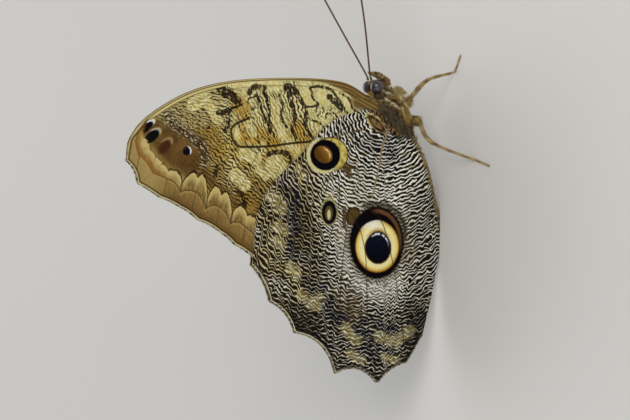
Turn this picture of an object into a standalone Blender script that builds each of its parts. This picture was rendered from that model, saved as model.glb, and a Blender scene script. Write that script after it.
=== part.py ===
"""An owl butterfly at rest, life size, standing on a floor with its wings closed over its back.

The head faces +X, +Y is its left side and the floor is z = 0. Places are written in millimetres
from the point of the floor under the middle of the thorax, and THORAX_X moves them so that the
origin lies under the middle of the whole animal.
"""

import math

import bmesh
import bpy
import numpy as np
from mathutils import Matrix, Vector

MM = 0.001
THORAX_X = 15.0
CLEARANCE = 0.35

# The trunk of the body. Centres are (x, z), and half sizes run along, through and across it.
THORAX = (-0.5, 12.0)
BODY_PITCH = math.radians(32)
THORAX_HALF = (6.4, 4.2, 4.0)
THORAX_ENDS = [(4.0, 3.3), (-4.0, 3.4)]  # how far along the thorax, and its half width there
HEAD = (6.6, 17.5)
HEAD_HALF = (2.2, 2.1, 2.4)
EYE = (6.9, 1.9, 18.0)
EYE_RADIUS = 1.6
ABDOMEN_LINE = [(-6.9, 8.1), (-9.0, 7.4), (-13.0, 6.4), (-18.0, 5.7), (-24.0, 5.8), (-27.5, 6.1)]
ABDOMEN_RADII = [1.7, 2.4, 2.7, 2.5, 1.7, 0.4]

# The wings, as (x, z) outlines. The tips are where the veins meet the outer margin.
WING_THICKNESS = 0.5
FORE_HALF_GAP = 0.45
HIND_STEP = 0.87
HIND_CLOSE_IN = 0.45
CLOSE_IN_FROM, CLOSE_IN_OVER = -38.0, 18.0  # behind this x the hindwings draw together, over this length
SWELL_SPREAD, SWELL_EXTRA = 1.5, 0.6  # the wings bow out over this many half widths, and this much more
SWELL_BLEND = 5.0  # how sharply one bow gives way to the next
WING_MIDDLE = (-10.0, 30.0)
ROOT_CROWDING = 1.25  # above 1 the rows of a wing stand closer near its root
SCALLOP_REACH = 8.0  # the higher, the nearer the margin its scallops stay
WING_ROWS = 12
FORE_STEPS, HIND_STEPS = 3, 4  # columns of a wing from one vein's tip to the next
FORE_ROOT = [(1.6, 14.9), (0.5, 13.8), (-1.0, 12.7)]
FORE_COSTA = [(1.6, 14.9), (4.9, 20.1), (7.9, 26.4), (8.7, 38.4), (7.8, 55.3), (4.9, 67.2),
              (-0.8, 77.5), (-6.1, 82.1), (-11.0, 83.0)]
FORE_TIPS = [(-11.0, 83.0), (-16.3, 80.0), (-19.5, 74.4), (-21.7, 69.3), (-24.7, 64.6),
             (-27.5, 58.9), (-30.5, 55.0), (-33.8, 49.8), (-37.1, 43.4)]
FORE_HIND_EDGE = [(-1.0, 12.7), (-10.0, 21.0), (-25.0, 33.5), (-37.1, 43.4)]
FORE_SAG = 0.05
HIND_ROOT = [(0.9, 15.6), (-1.6, 12.7), (-4.4, 9.2)]
HIND_COSTA = [(0.9, 15.6), (1.4, 19.1), (0.9, 23.0), (-2.1, 30.5), (-9.5, 38.0), (-17.1, 46.0),
              (-24.4, 49.7), (-35.2, 50.7)]
HIND_TIPS = [(-35.2, 50.7), (-43.9, 45.7), (-51.3, 39.2), (-61.2, 28.4), (-63.9, 17.0),
             (-59.0, 9.0), (-52.4, 4.6)]
HIND_SAGS = [0.08, 0.12, 0.17, 0.2, 0.1, 0.0]
HIND_INNER = [(-4.4, 9.2), (-10.3, 6.2), (-14.7, 4.4), (-19.3, 2.4), (-23.5, 0.6), (-28.0, -0.25),
              (-34.5, 0.5), (-44.2, 2.5), (-52.4, 4.6)]

# Legs: joints as (x, distance from the midplane, z), with the radius of the leg there.
MIDDLE_RIGHT = [(4.0, 2.2, 9.3, 0.55), (8.4, 6.4, 6.9, 0.5), (10.3, 8.0, 1.0, 0.36),
                (11.1, 8.7, 0.24, 0.33), (14.2, 10.8, 0.22, 0.33)]
MIDDLE_LEFT = [(4.0, 2.2, 9.3, 0.55), (6.0, 9.0, 8.6, 0.5), (5.2, 16.0, 1.1, 0.36),
               (5.2, 17.0, 0.24, 0.33), (5.6, 22.6, 0.22, 0.33)]
HIND_RIGHT = [(-1.0, 2.4, 6.8, 0.55), (-6.2, 8.4, 6.9, 0.5), (-10.2, 16.8, 1.1, 0.36),
              (-10.6, 17.8, 0.24, 0.33), (-12.1, 24.1, 0.22, 0.33)]
HIND_LEFT = [(-1.0, 2.4, 6.8, 0.55), (-6.8, 8.6, 7.0, 0.5), (-12.0, 16.6, 1.1, 0.36),
             (-12.5, 17.6, 0.24, 0.33), (-14.2, 23.9, 0.22, 0.33)]
FORELEG = [(4.9, 1.7, 11.2, 0.4), (6.4, 1.2, 12.4, 0.4), (6.3, 2.2, 11.7, 0.34), (5.2, 2.7, 10.6, 0.28)]

# Antennae and palps in the same way, and the tongue coiled between the palps.
ANTENNA = [(8.6, 0.8, 18.9), (10.5, 1.2, 19.6), (19.9, 5.6, 23.1), (27.3, 8.7, 26.0), (33.8, 11.1, 28.6)]
ANTENNA_RADIUS = 0.26
CLUB_RADIUS = 0.5
CLUB_LENGTH_SHARE = 0.16
CLUB_TAPER = 0.8  # 1 would bring the club to a point at its tip
PALP = [(8.3, 1.05, 14.3, 0.42), (9.3, 1.1, 15.8, 0.46), (10.0, 1.1, 17.2, 0.42), (10.3, 1.1, 18.4, 0.28)]
TONGUE = (8.2, 14.3)
TONGUE_RADII = (0.25, 0.8)
TONGUE_TURNS = 1.3
TONGUE_THICKNESS = 0.5

# How many points the soft tubes have along them.
ABDOMEN_POINTS = 14
ANTENNA_POINTS = 15
WALKING_LEG_POINTS = 16
FORELEG_POINTS = 10
PALP_POINTS = 8
TONGUE_POINTS = 22
CURVE_STEPS = 16

SKIN_BROWN = (0.33, 0.2, 0.075)
WING_BROWN = (0.42, 0.36, 0.2)
LEG_BROWN = (0.2, 0.12, 0.06)
EYE_GREY = (0.2, 0.16, 0.17)


def clear_scene():
    for thing in list(bpy.data.objects):
        bpy.data.objects.remove(thing, do_unlink=True)


def new_collection(name):
    collection = bpy.data.collections.new(name)
    bpy.context.scene.collection.children.link(collection)
    return collection


def material(name, colour, roughness):
    made = bpy.data.materials.new(name)
    made.use_nodes = True
    shader = made.node_tree.nodes["Principled BSDF"]
    shader.inputs["Base Color"].default_value = (*colour, 1.0)
    shader.inputs["Roughness"].default_value = roughness
    shader.inputs["Metallic"].default_value = 0.0
    return made


def world(x, y, z):
    """A place in the animal's millimetres, in Blender's metres."""
    return Vector(((x + THORAX_X) * MM, y * MM, z * MM))


def along_thorax(forward):
    """A place on the pitched axis of the thorax, as (x, z) in millimetres."""
    return THORAX[0] + forward * math.cos(BODY_PITCH), THORAX[1] + forward * math.sin(BODY_PITCH)


def smooth_path(points, count):
    """Points spaced evenly along a smooth curve through the given ones."""
    points = np.array(points, float)
    ends = np.vstack([2 * points[0] - points[1], points, 2 * points[-1] - points[-2]])
    fine = []
    for i in range(1, len(ends) - 2):
        before, start, stop, after = ends[i - 1:i + 3]
        for t in np.arange(0, 1, 1 / CURVE_STEPS):
            fine.append(0.5 * (2 * start + (stop - before) * t
                               + (2 * before - 5 * start + 4 * stop - after) * t**2
                               + (3 * start - before - 3 * stop + after) * t**3))
    fine = np.array([*fine, points[-1]])
    length = np.r_[0, np.cumsum(np.linalg.norm(np.diff(fine, axis=0), axis=1))]
    even = np.linspace(0, length[-1], count)
    return np.column_stack([np.interp(even, length, column) for column in fine.T])


def finish(thing, name, collection, colour, roughness=0.6):
    """Names an object, moves it to its collection and gives it its own material."""
    thing.name = name
    thing.data.name = name
    for old in list(thing.users_collection):
        old.objects.unlink(thing)
    collection.objects.link(thing)
    thing.data.materials.clear()
    thing.data.materials.append(material(name, colour, roughness))
    if thing.type == "MESH":
        thing.data.shade_smooth()
        thing.data.set_sharp_from_angle(angle=math.radians(50))
    return thing


def mesh_object(name, shape):
    mesh = bpy.data.meshes.new(name)
    shape.to_mesh(mesh)
    shape.free()
    thing = bpy.data.objects.new(name, mesh)
    bpy.context.scene.collection.objects.link(thing)
    return thing


def ball(name, centre, half, segments, rings, pitch=0.0):
    """A ball stretched to half sizes along, across and through the body, turned to the body's pitch."""
    shape = bmesh.new()
    bmesh.ops.create_uvsphere(shape, u_segments=segments, v_segments=rings, radius=1.0)
    poles_forward = Matrix.Rotation(math.radians(90), 4, "Y")
    stretch = Matrix.Diagonal((half[0] * MM, half[2] * MM, half[1] * MM, 1.0))
    turn = Matrix.Rotation(-pitch, 4, "Y")
    place = Matrix.Translation(world(*centre))
    shape.transform(place @ turn @ stretch @ poles_forward)
    return mesh_object(name, shape)


def tube(name, points, radii, sides_setting=2):
    """A bevelled curve through points in millimetres, as thick as the radii say, with closed ends."""
    curve = bpy.data.curves.new(name, "CURVE")
    curve.dimensions = "3D"
    curve.bevel_depth = MM
    curve.bevel_resolution = sides_setting
    curve.use_fill_caps = True
    line = curve.splines.new("POLY")
    line.points.add(len(points) - 1)
    for spot, place, radius in zip(line.points, points, radii):
        spot.co = (*world(*place), 1.0)
        spot.radius = radius
    thing = bpy.data.objects.new(name, curve)
    bpy.context.scene.collection.objects.link(thing)
    return thing


def as_mesh(thing):
    """The curve as a mesh object with its caps welded."""
    graph = bpy.context.evaluated_depsgraph_get()
    mesh = bpy.data.meshes.new_from_object(thing.evaluated_get(graph))
    name, matrix = thing.name, thing.matrix_world.copy()
    bpy.data.objects.remove(thing, do_unlink=True)
    shape = bmesh.new()
    shape.from_mesh(mesh)
    bmesh.ops.remove_doubles(shape, verts=shape.verts, dist=0.001 * MM)
    made = mesh_object(name, shape)
    made.matrix_world = matrix
    return made


def flatten_on_floor(thing):
    """Cuts off what is under the floor, which leaves a small flat to stand on."""
    shape = bmesh.new()
    shape.from_mesh(thing.data)
    everything = [*shape.verts, *shape.edges, *shape.faces]
    bmesh.ops.bisect_plane(shape, geom=everything, dist=1e-7, plane_co=(0, 0, 0),
                           plane_no=(0, 0, 1), clear_inner=True)
    rim = [edge for edge in shape.edges if edge.is_boundary]
    bmesh.ops.holes_fill(shape, edges=rim)
    bmesh.ops.recalc_face_normals(shape, faces=shape.faces)
    shape.to_mesh(thing.data)
    shape.free()


def apply_modifiers(thing):
    graph = bpy.context.evaluated_depsgraph_get()
    mesh = bpy.data.meshes.new_from_object(thing.evaluated_get(graph))
    thing.modifiers.clear()
    thing.data = mesh


def body_swell(x, z):
    """How far the wings bow out at (x, z) to clear the thorax and abdomen between them."""
    middles = [(*along_thorax(0), THORAX_HALF[2])]
    middles += [(*along_thorax(forward), half_width) for forward, half_width in THORAX_ENDS]
    rings = [(*place, radius) for place, radius in zip(ABDOMEN_LINE[1:-1], ABDOMEN_RADII[1:-1])]
    middles += rings
    middles += [tuple(np.add(one, other) / 2) for one, other in zip(rings, rings[1:])]
    total = 0.0
    for middle_x, middle_z, half_width in middles:
        distance = math.hypot(x - middle_x, z - middle_z)
        height = half_width + WING_THICKNESS / 2 + CLEARANCE
        spread = SWELL_SPREAD * half_width + SWELL_EXTRA
        total += (height * math.exp(-((distance / spread) ** 2))) ** SWELL_BLEND
    return total ** (1 / SWELL_BLEND)


def forewing_depth(x, z):
    return math.hypot(FORE_HALF_GAP, body_swell(x, z))


def hindwing_depth(x, z):
    behind = min(max((CLOSE_IN_FROM - x) / CLOSE_IN_OVER, 0.0), 1.0)
    close_in = HIND_CLOSE_IN * behind * behind * (3 - 2 * behind)
    return forewing_depth(x, z) + HIND_STEP - close_in


def scalloped_edge(tips, sags, steps):
    """The outer margin: between one vein's tip and the next it sags inwards by a share of the chord."""
    edge = []
    for start, stop, sag in zip(tips, tips[1:], sags):
        start, stop = np.array(start), np.array(stop)
        chord = stop - start
        inward = np.array((-chord[1], chord[0])) * sag
        inward *= math.copysign(1.0, inward @ (np.array(WING_MIDDLE) - start))
        for t in np.arange(steps) / steps:
            edge.append(start + chord * t + inward * 4 * t * (1 - t))
    return np.array([*edge, tips[-1]])


def wing_outline(root, front, tips, sags, rear, steps):
    """The four sides of a wing as functions of a share: root, front edge, outer margin, rear edge."""
    columns = (len(tips) - 1) * steps + 1
    return {
        "root": smooth_path(root, columns),
        "front": front,
        "rear": rear,
        "smooth_margin": smooth_path(tips, columns),
        "margin": scalloped_edge(tips, sags, steps),
    }


def wing(name, outline, depth, side, collection, rows=WING_ROWS):
    """A wing blade: a grid spanned between its four edges, bowed round the body and given its thickness."""
    columns = len(outline["margin"])
    front = smooth_path(outline["front"], 4 * rows + 1)
    rear = smooth_path(outline["rear"], 4 * rows + 1)
    root, smooth, margin = outline["root"], outline["smooth_margin"], outline["margin"]
    shape = bmesh.new()
    bmesh.ops.create_grid(shape, x_segments=rows, y_segments=columns - 1, size=0.5)
    for vert in shape.verts:
        along = vert.co.x + 0.5
        across = vert.co.y + 0.5
        u = along ** ROOT_CROWDING
        column = round(across * (columns - 1))
        edge_u = u * 4 * rows
        front_at = [np.interp(edge_u, range(len(front)), front[:, k]) for k in (0, 1)]
        rear_at = [np.interp(edge_u, range(len(rear)), rear[:, k]) for k in (0, 1)]
        sides = (1 - across) * np.array(front_at) + across * np.array(rear_at)
        ends = (1 - u) * root[column] + u * smooth[column]
        corners = ((1 - u) * ((1 - across) * root[0] + across * root[-1])
                   + u * ((1 - across) * smooth[0] + across * smooth[-1]))
        x, z = sides + ends - corners + (margin[column] - smooth[column]) * u ** SCALLOP_REACH
        vert.co = world(x, side * depth(x, z), z)
    bmesh.ops.recalc_face_normals(shape, faces=shape.faces)
    thing = mesh_object(name, shape)
    solid = thing.modifiers.new("thickness", "SOLIDIFY")
    solid.thickness = WING_THICKNESS * MM
    solid.offset = 0.0
    apply_modifiers(thing)
    return finish(thing, name, collection, WING_BROWN, 0.75)


def make_wings(collection):
    fore_sags = [FORE_SAG] * (len(FORE_TIPS) - 1)
    fore = wing_outline(FORE_ROOT, FORE_COSTA, FORE_TIPS, fore_sags, FORE_HIND_EDGE, FORE_STEPS)
    hind = wing_outline(HIND_ROOT, HIND_COSTA, HIND_TIPS, HIND_SAGS, HIND_INNER, HIND_STEPS)
    for word, side in (("left", 1), ("right", -1)):
        wing(f"forewing_{word}", fore, forewing_depth, side, collection)
        lower = wing(f"hindwing_{word}", hind, hindwing_depth, side, collection)
        flatten_on_floor(lower)


def cut_by(thing, cutter):
    cut = thing.modifiers.new("socket", "BOOLEAN")
    cut.operation = "DIFFERENCE"
    cut.object = cutter
    cutter.hide_render = True
    cutter.display_type = "WIRE"


def make_trunk(collection, cutters):
    """Thorax, abdomen and head, with a socket in the head for each eye."""
    thorax = ball("thorax", (THORAX[0], 0.0, THORAX[1]), THORAX_HALF, 22, 14, BODY_PITCH)
    finish(thorax, "thorax", collection, SKIN_BROWN, 0.85)
    line = [(x, 0.0, z, radius) for (x, z), radius in zip(ABDOMEN_LINE, ABDOMEN_RADII)]
    line = smooth_path(line, ABDOMEN_POINTS)
    abdomen = as_mesh(tube("abdomen", line[:, :3], line[:, 3], 6))
    finish(abdomen, "abdomen", collection, SKIN_BROWN, 0.85)
    head = ball("head", (HEAD[0], 0.0, HEAD[1]), HEAD_HALF, 24, 16, BODY_PITCH)
    finish(head, "head", collection, SKIN_BROWN, 0.85)
    for word, side in (("left", 1), ("right", -1)):
        centre = (EYE[0], side * EYE[1], EYE[2])
        eye = ball("eye", centre, [EYE_RADIUS] * 3, 18, 12, BODY_PITCH)
        finish(eye, f"eye_{word}", collection, EYE_GREY, 0.2)
        socket = ball("socket", centre, [EYE_RADIUS + CLEARANCE] * 3, 20, 14, BODY_PITCH)
        finish(socket, f"socket_{word}", cutters, EYE_GREY)
        cut_by(head, socket)


def make_mouth(collection):
    """Two palps held up before the face, and the tongue coiled between them."""
    for word, side in (("left", 1), ("right", -1)):
        line = smooth_path([(x, side * y, z, radius) for x, y, z, radius in PALP], PALP_POINTS)
        palp = as_mesh(tube("palp", line[:, :3], line[:, 3], 3))
        finish(palp, f"palp_{word}", collection, SKIN_BROWN, 0.8)
    places = []
    for share in np.linspace(0, 1, TONGUE_POINTS):
        radius = TONGUE_RADII[0] + (TONGUE_RADII[1] - TONGUE_RADII[0]) * share
        turn = math.tau * TONGUE_TURNS * share
        places.append((TONGUE[0] + radius * math.cos(turn), 0.0, TONGUE[1] + radius * math.sin(turn)))
    tongue = as_mesh(tube("tongue", places, [TONGUE_THICKNESS / 2] * len(places), 2))
    finish(tongue, "tongue", collection, LEG_BROWN, 0.5)


def make_antennae(collection):
    line = smooth_path(ANTENNA, ANTENNA_POINTS)
    radii = []
    for share in np.linspace(0, 1, ANTENNA_POINTS):
        into_club = min(max((share - 1 + CLUB_LENGTH_SHARE) / CLUB_LENGTH_SHARE, 0.0), 1.0)
        swelling = math.sin(math.pi * CLUB_TAPER * into_club)
        radii.append(ANTENNA_RADIUS + (CLUB_RADIUS - ANTENNA_RADIUS) * swelling)
    for word, side in (("left", 1), ("right", -1)):
        antenna = as_mesh(tube("antenna", [(x, side * y, z) for x, y, z in line], radii, 2))
        finish(antenna, f"antenna_{word}", collection, LEG_BROWN, 0.5)


def make_legs(collection):
    """Four walking legs, and the two short forelegs folded under the neck."""
    walking = {
        "midleg_right": (MIDDLE_RIGHT, -1),
        "midleg_left": (MIDDLE_LEFT, 1),
        "hindleg_right": (HIND_RIGHT, -1),
        "hindleg_left": (HIND_LEFT, 1),
    }
    for name, (joints, side) in walking.items():
        joints = [(x, side * y, z, radius) for x, y, z, radius in joints]
        line = smooth_path(joints, WALKING_LEG_POINTS)
        leg = as_mesh(tube(name, line[:, :3], line[:, 3], 2))
        flatten_on_floor(leg)
        finish(leg, name, collection, LEG_BROWN, 0.6)
    for word, side in (("left", 1), ("right", -1)):
        joints = [(x, side * y, z, radius) for x, y, z, radius in FORELEG]
        line = smooth_path(joints, FORELEG_POINTS)
        leg = as_mesh(tube("foreleg", line[:, :3], line[:, 3], 2))
        finish(leg, f"foreleg_{word}", collection, LEG_BROWN, 0.6)


def main():
    clear_scene()
    butterfly = new_collection("owl_butterfly")
    cutters = new_collection("cutters")
    make_trunk(butterfly, cutters)
    make_mouth(butterfly)
    make_antennae(butterfly)
    make_legs(butterfly)
    make_wings(butterfly)


main()
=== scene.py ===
"""A life-size owl butterfly at rest with its wings closed, finished around its solids.

The head faces +X, the left side +Y, and the floor is z = 0. Places are in the animal's own
millimetres, from the floor under the middle of the thorax; world() turns them into metres.
"""

import math

import bpy
import numpy as np
from mathutils import Matrix, Vector

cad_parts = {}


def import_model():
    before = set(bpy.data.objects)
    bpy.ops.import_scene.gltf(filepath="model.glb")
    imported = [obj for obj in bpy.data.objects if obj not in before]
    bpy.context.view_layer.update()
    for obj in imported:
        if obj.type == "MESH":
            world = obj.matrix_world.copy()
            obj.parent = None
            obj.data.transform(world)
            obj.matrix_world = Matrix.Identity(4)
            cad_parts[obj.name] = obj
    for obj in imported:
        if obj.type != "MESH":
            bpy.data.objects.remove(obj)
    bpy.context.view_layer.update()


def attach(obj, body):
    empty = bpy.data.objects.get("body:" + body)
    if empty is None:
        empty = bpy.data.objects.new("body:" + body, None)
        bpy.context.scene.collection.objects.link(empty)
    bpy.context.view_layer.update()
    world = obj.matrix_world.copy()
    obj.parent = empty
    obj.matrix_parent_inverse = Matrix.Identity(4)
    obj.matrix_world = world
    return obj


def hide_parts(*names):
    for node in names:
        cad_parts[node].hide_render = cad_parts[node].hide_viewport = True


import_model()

MM = 0.001
THORAX_X = 15.0
BODY = "root"
SIDES = (("right", -1), ("left", 1))
NOWHERE = (0.0, 0.0, 0.0)

# The camera: as far off as a macro lens stands, level with the photo's tilt, and turned head up.
CAMERA_DISTANCE = 800.0
CAMERA_DOWN = math.radians(28)
PIXEL = 0.237
PICTURE = (630, 420)
FLOOR_COLUMN = 440.6
THORAX_ROW = 115.0
SENSOR = 36.0

# The trunk. Centres are (x, z), and half sizes run along, through and across it.
THORAX = (-0.5, 12.0)
BODY_PITCH = math.radians(32)
THORAX_HALF = (6.4, 4.2, 4.0)
THORAX_ENDS = [(4.0, 3.3), (-4.0, 3.4)]
HEAD = (6.6, 17.5)
HEAD_HALF = (2.2, 2.1, 2.4)
EYE = (6.9, 1.9, 18.0)
EYE_RADIUS = 1.6
ABDOMEN_LINE = [(-6.9, 8.1), (-9.0, 7.4), (-13.0, 6.4), (-18.0, 5.7), (-24.0, 5.8), (-27.5, 6.1)]
ABDOMEN_RADII = [1.7, 2.4, 2.7, 2.5, 1.7, 0.4]
ABDOMEN_RING = 2.7
PALP = [(8.3, 1.05, 14.3, 0.42), (9.3, 1.1, 15.8, 0.46), (10.0, 1.1, 17.2, 0.42), (10.3, 1.1, 18.4, 0.28)]

# How deep the coat is on each part, which is how far the skin lies inside the solids.
THORAX_COAT = 0.7
HEAD_COAT = 0.45
ABDOMEN_COAT = 0.35
PALP_COAT = 0.14

# The wings, as (x, z) outlines, and how far they stand from the midplane.
CLEARANCE = 0.35
WING_THICKNESS = 0.5
BLADE_THICKNESS = 0.24
FORE_HALF_GAP = 0.24
HIND_STEP = 0.4
HIND_CLOSE_IN = 0.3
CLOSE_IN_FROM, CLOSE_IN_OVER = -38.0, 18.0
SWELL_SPREAD, SWELL_EXTRA = 1.5, 0.6
SWELL_BLEND = 5.0
WING_MIDDLE = (-10.0, 30.0)
ROOT_CROWDING = 1.25
SCALLOP_REACH = 8.0
FORE_ROOT = [(1.6, 14.9), (0.5, 13.8), (-1.0, 12.7)]
FORE_COSTA = [(1.6, 14.9), (4.9, 20.1), (7.9, 26.4), (8.7, 38.4), (7.8, 55.3), (4.9, 67.2),
              (-0.8, 77.5), (-6.1, 82.1), (-11.0, 83.0)]
FORE_TIPS = [(-11.0, 83.0), (-16.3, 80.0), (-19.5, 74.4), (-21.7, 69.3), (-24.7, 64.6),
             (-27.5, 58.9), (-30.5, 55.0), (-33.8, 49.8), (-37.1, 43.4)]
FORE_HIND_EDGE = [(-1.0, 12.7), (-10.0, 21.0), (-25.0, 33.5), (-37.1, 43.4)]
FORE_SAGS = [-0.12, -0.02, 0.04, 0.05, 0.05, 0.05, 0.05, 0.05]
HIND_ROOT = [(0.9, 15.6), (-1.6, 12.7), (-4.4, 9.2)]
HIND_COSTA = [(0.9, 15.6), (1.4, 19.1), (0.9, 23.0), (-2.1, 30.5), (-9.5, 38.0), (-17.1, 46.0),
              (-24.4, 49.7), (-35.2, 50.7)]
HIND_TIPS = [(-35.2, 50.7), (-43.9, 45.7), (-51.3, 39.2), (-61.2, 28.4), (-63.9, 17.0),
             (-59.0, 9.0), (-52.4, 4.6)]
HIND_SAGS = [0.08, 0.12, 0.17, 0.2, 0.1, 0.0]
HIND_INNER = [(-4.4, 9.2), (-10.3, 6.2), (-14.7, 4.4), (-19.3, 2.4), (-23.5, 0.6), (-28.0, -0.25),
              (-34.5, 0.5), (-44.2, 2.5), (-52.4, 4.6)]
VEIN_RIDGE = (0.07, 0.2)
VEIN_TROUGH = (-0.08, 1.6)
WING_ROWS = 190
WING_COLUMNS = 200
EDGE_POINTS = 97
MARGIN_STEPS = 24

# Veins, as lines through (x, z) from the wing base or the cell out to the margin.
FORE_CELL_VEIN = [(0.2, 14.6), (-2.4, 24.0), (-6.1, 34.6), (-6.5, 37.8), (-7.0, 42.0), (-7.5, 45.8),
                  (-7.7, 50.8), (-7.7, 54.0), (-7.3, 54.9), (-5.7, 55.8), (-3.8, 56.1), (-2.5, 55.1),
                  (-1.7, 53.4), (-1.0, 51.3)]
FORE_VEINS = [
    [(1.0, 14.9), (5.4, 25.0), (6.9, 40.0), (5.4, 58.0), (0.5, 70.0), (-4.0, 77.5)],
    [(-1.0, 51.3), (-1.7, 56.5), (-4.3, 67.6), (-7.2, 76.2), (-11.4, 82.9)],
    [(-3.6, 56.1), (-7.3, 66.0), (-10.7, 72.5), (-16.5, 79.5)],
    [(-5.5, 56.1), (-10.2, 62.8), (-14.7, 67.6), (-20.9, 71.7)],
    [(-7.5, 54.2), (-12.6, 59.0), (-17.8, 62.3), (-24.6, 64.4)],
    [(-7.8, 48.3), (-15.4, 52.6), (-21.3, 55.3), (-28.9, 57.2)],
    [(-6.6, 40.8), (-17.8, 45.6), (-24.9, 48.3), (-33.7, 49.9)],
]
HIND_VEINS = [
    [(0.5, 15.4), (-1.0, 22.0), (-8.0, 33.0), (-22.0, 44.0), (-35.2, 50.7)],
    [(-4.0, 20.5), (-12.0, 28.5), (-25.0, 37.0), (-43.9, 45.7)],
    [(-12.0, 28.5), (-20.0, 27.5), (-34.0, 32.0), (-51.3, 39.2)],
    [(-20.0, 27.5), (-22.5, 25.0), (-36.0, 26.8), (-61.2, 28.4)],
    [(-22.5, 25.0), (-26.8, 22.1), (-32.5, 20.5), (-38.0, 20.2), (-51.2, 19.5), (-63.9, 17.0)],
    [(-22.0, 18.8), (-25.4, 15.9), (-31.6, 13.9), (-40.0, 12.0), (-59.0, 9.0)],
]
HIND_PALE_VEIN = [(-3.9, 15.7), (-5.8, 16.0), (-7.2, 16.3), (-10.6, 16.5), (-13.0, 17.0), (-19.4, 18.6)]


def paint(red, green, blue):
    """A colour seen on the animal, given in display values of 0 to 255, as Blender's linear one."""
    linear = []
    for part in (red, green, blue):
        share = part / 255
        linear.append(share / 12.92 if share <= 0.04045 else ((share + 0.055) / 1.055) ** 2.4)
    return (*linear, 1.0)


def world(places):
    """Places in the animal's millimetres, as rows, in metres."""
    return (np.asarray(places, float) + (THORAX_X, 0.0, 0.0)) * MM


def ramp(value, low, high):
    """A smooth rise from 0 at low to 1 at high."""
    share = np.clip((value - low) / (high - low), 0.0, 1.0)
    return share * share * (3 - 2 * share)


CURVE_STEP = 1 / 16


def smooth_path(points, count):
    """Points spaced evenly along a smooth curve through the given ones."""
    points = np.array(points, float)
    ends = np.vstack([2 * points[0] - points[1], points, 2 * points[-1] - points[-2]])
    fine = []
    for i in range(1, len(ends) - 2):
        before, start, stop, after = ends[i - 1:i + 3]
        for t in np.arange(0, 1, CURVE_STEP):
            fine.append(0.5 * (2 * start + (stop - before) * t
                               + (2 * before - 5 * start + 4 * stop - after) * t**2
                               + (3 * start - before - 3 * stop + after) * t**3))
    fine = np.array([*fine, points[-1]])
    length = np.r_[0, np.cumsum(np.linalg.norm(np.diff(fine, axis=0), axis=1))]
    even = np.linspace(0, length[-1], count)
    return np.column_stack([np.interp(even, length, column) for column in fine.T])


def upright(x, y, z):
    """Rows of places from their three columns."""
    return np.column_stack([x, y, z])


def unit(rows):
    """Each row as a direction of length 1."""
    return rows / np.maximum(np.linalg.norm(rows, axis=1, keepdims=True), 1e-9)


def blend(share, one, other):
    """Rows between two colours, nearer to the other where the share is nearer to 1."""
    share = np.clip(share, 0, 1)[:, None]
    return (1 - share) * np.asarray(one) + share * np.asarray(other)


def clear_selection():
    for thing in list(bpy.context.selected_objects):
        thing.select_set(False)


def only(thing):
    clear_selection()
    thing.select_set(True)
    bpy.context.view_layer.objects.active = thing


def named(thing, name):
    thing.name = name
    thing.data.name = name
    return thing


def placed(name, data):
    """A new object in the scene."""
    thing = bpy.data.objects.new(name, data)
    bpy.context.scene.collection.objects.link(thing)
    return thing


def modify(thing, kind, **settings):
    modifier = thing.modifiers.new(kind.lower(), kind)
    for name, value in settings.items():
        setattr(modifier, name, value)


def apply_modifiers(thing):
    only(thing)
    for modifier in list(thing.modifiers):
        bpy.ops.object.modifier_apply(modifier=modifier.name)


def settle(thing):
    """Puts a piece's place, turn and size into its mesh."""
    only(thing)
    bpy.ops.object.transform_apply(location=True, rotation=True, scale=True)


def joined(things, name):
    only(things[0])
    for thing in things:
        thing.select_set(True)
    bpy.ops.object.join()
    made = bpy.context.view_layer.objects.active
    settle(made)
    return named(made, name)


def places_of(thing):
    found = np.empty(len(thing.data.vertices) * 3, np.float32)
    thing.data.vertices.foreach_get("co", found)
    return found.reshape(-1, 3).astype(float)


def own_places(thing):
    """The mesh's points in the animal's millimetres."""
    return places_of(thing) / MM - (THORAX_X, 0.0, 0.0)


def set_places(thing, places):
    thing.data.vertices.foreach_set("co", np.asarray(places, np.float32).ravel())
    thing.data.update()


def keep(thing, **layers):
    """Stores numbers for each point of the mesh, for its material to read by name."""
    for name, values in layers.items():
        layer = thing.data.attributes.new(name, "FLOAT", "POINT")
        layer.data.foreach_set("value", np.asarray(values, np.float32).ravel())


def keep_colour(thing, values):
    layer = thing.data.attributes.new("marking", "FLOAT_COLOR", "POINT")
    layer.data.foreach_set("color", np.asarray(values, np.float32).ravel())


def keep_chart(mesh, laid):
    """The unwrap that a piece's colours are baked on, a place for each corner of its faces."""
    layer = mesh.uv_layers.new(name="OFBake")
    layer.data.foreach_set("uv", laid.astype(np.float32).ravel())


def present(thing, slot, *nodes):
    """Attaches a finished piece to the body it rides on and hides the model's parts that it stands for. Its
    slot is not used.
    """
    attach(thing, BODY)
    if nodes:
        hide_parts(*nodes)
    return thing


def shade(thing, angle):
    """Smooth shading, with sharp edges where faces meet at more than an angle."""
    only(thing)
    bpy.ops.object.shade_smooth_by_angle(angle=math.radians(angle))


# Materials


def reckoning(operation, turned=False):
    """What a sign such as + means between two values of a shader."""
    def reckon(self, other):
        values = (other, self) if turned else (self, other)
        return self.board.put("Math", enumerate(values), operation=operation)
    return reckon


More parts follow.
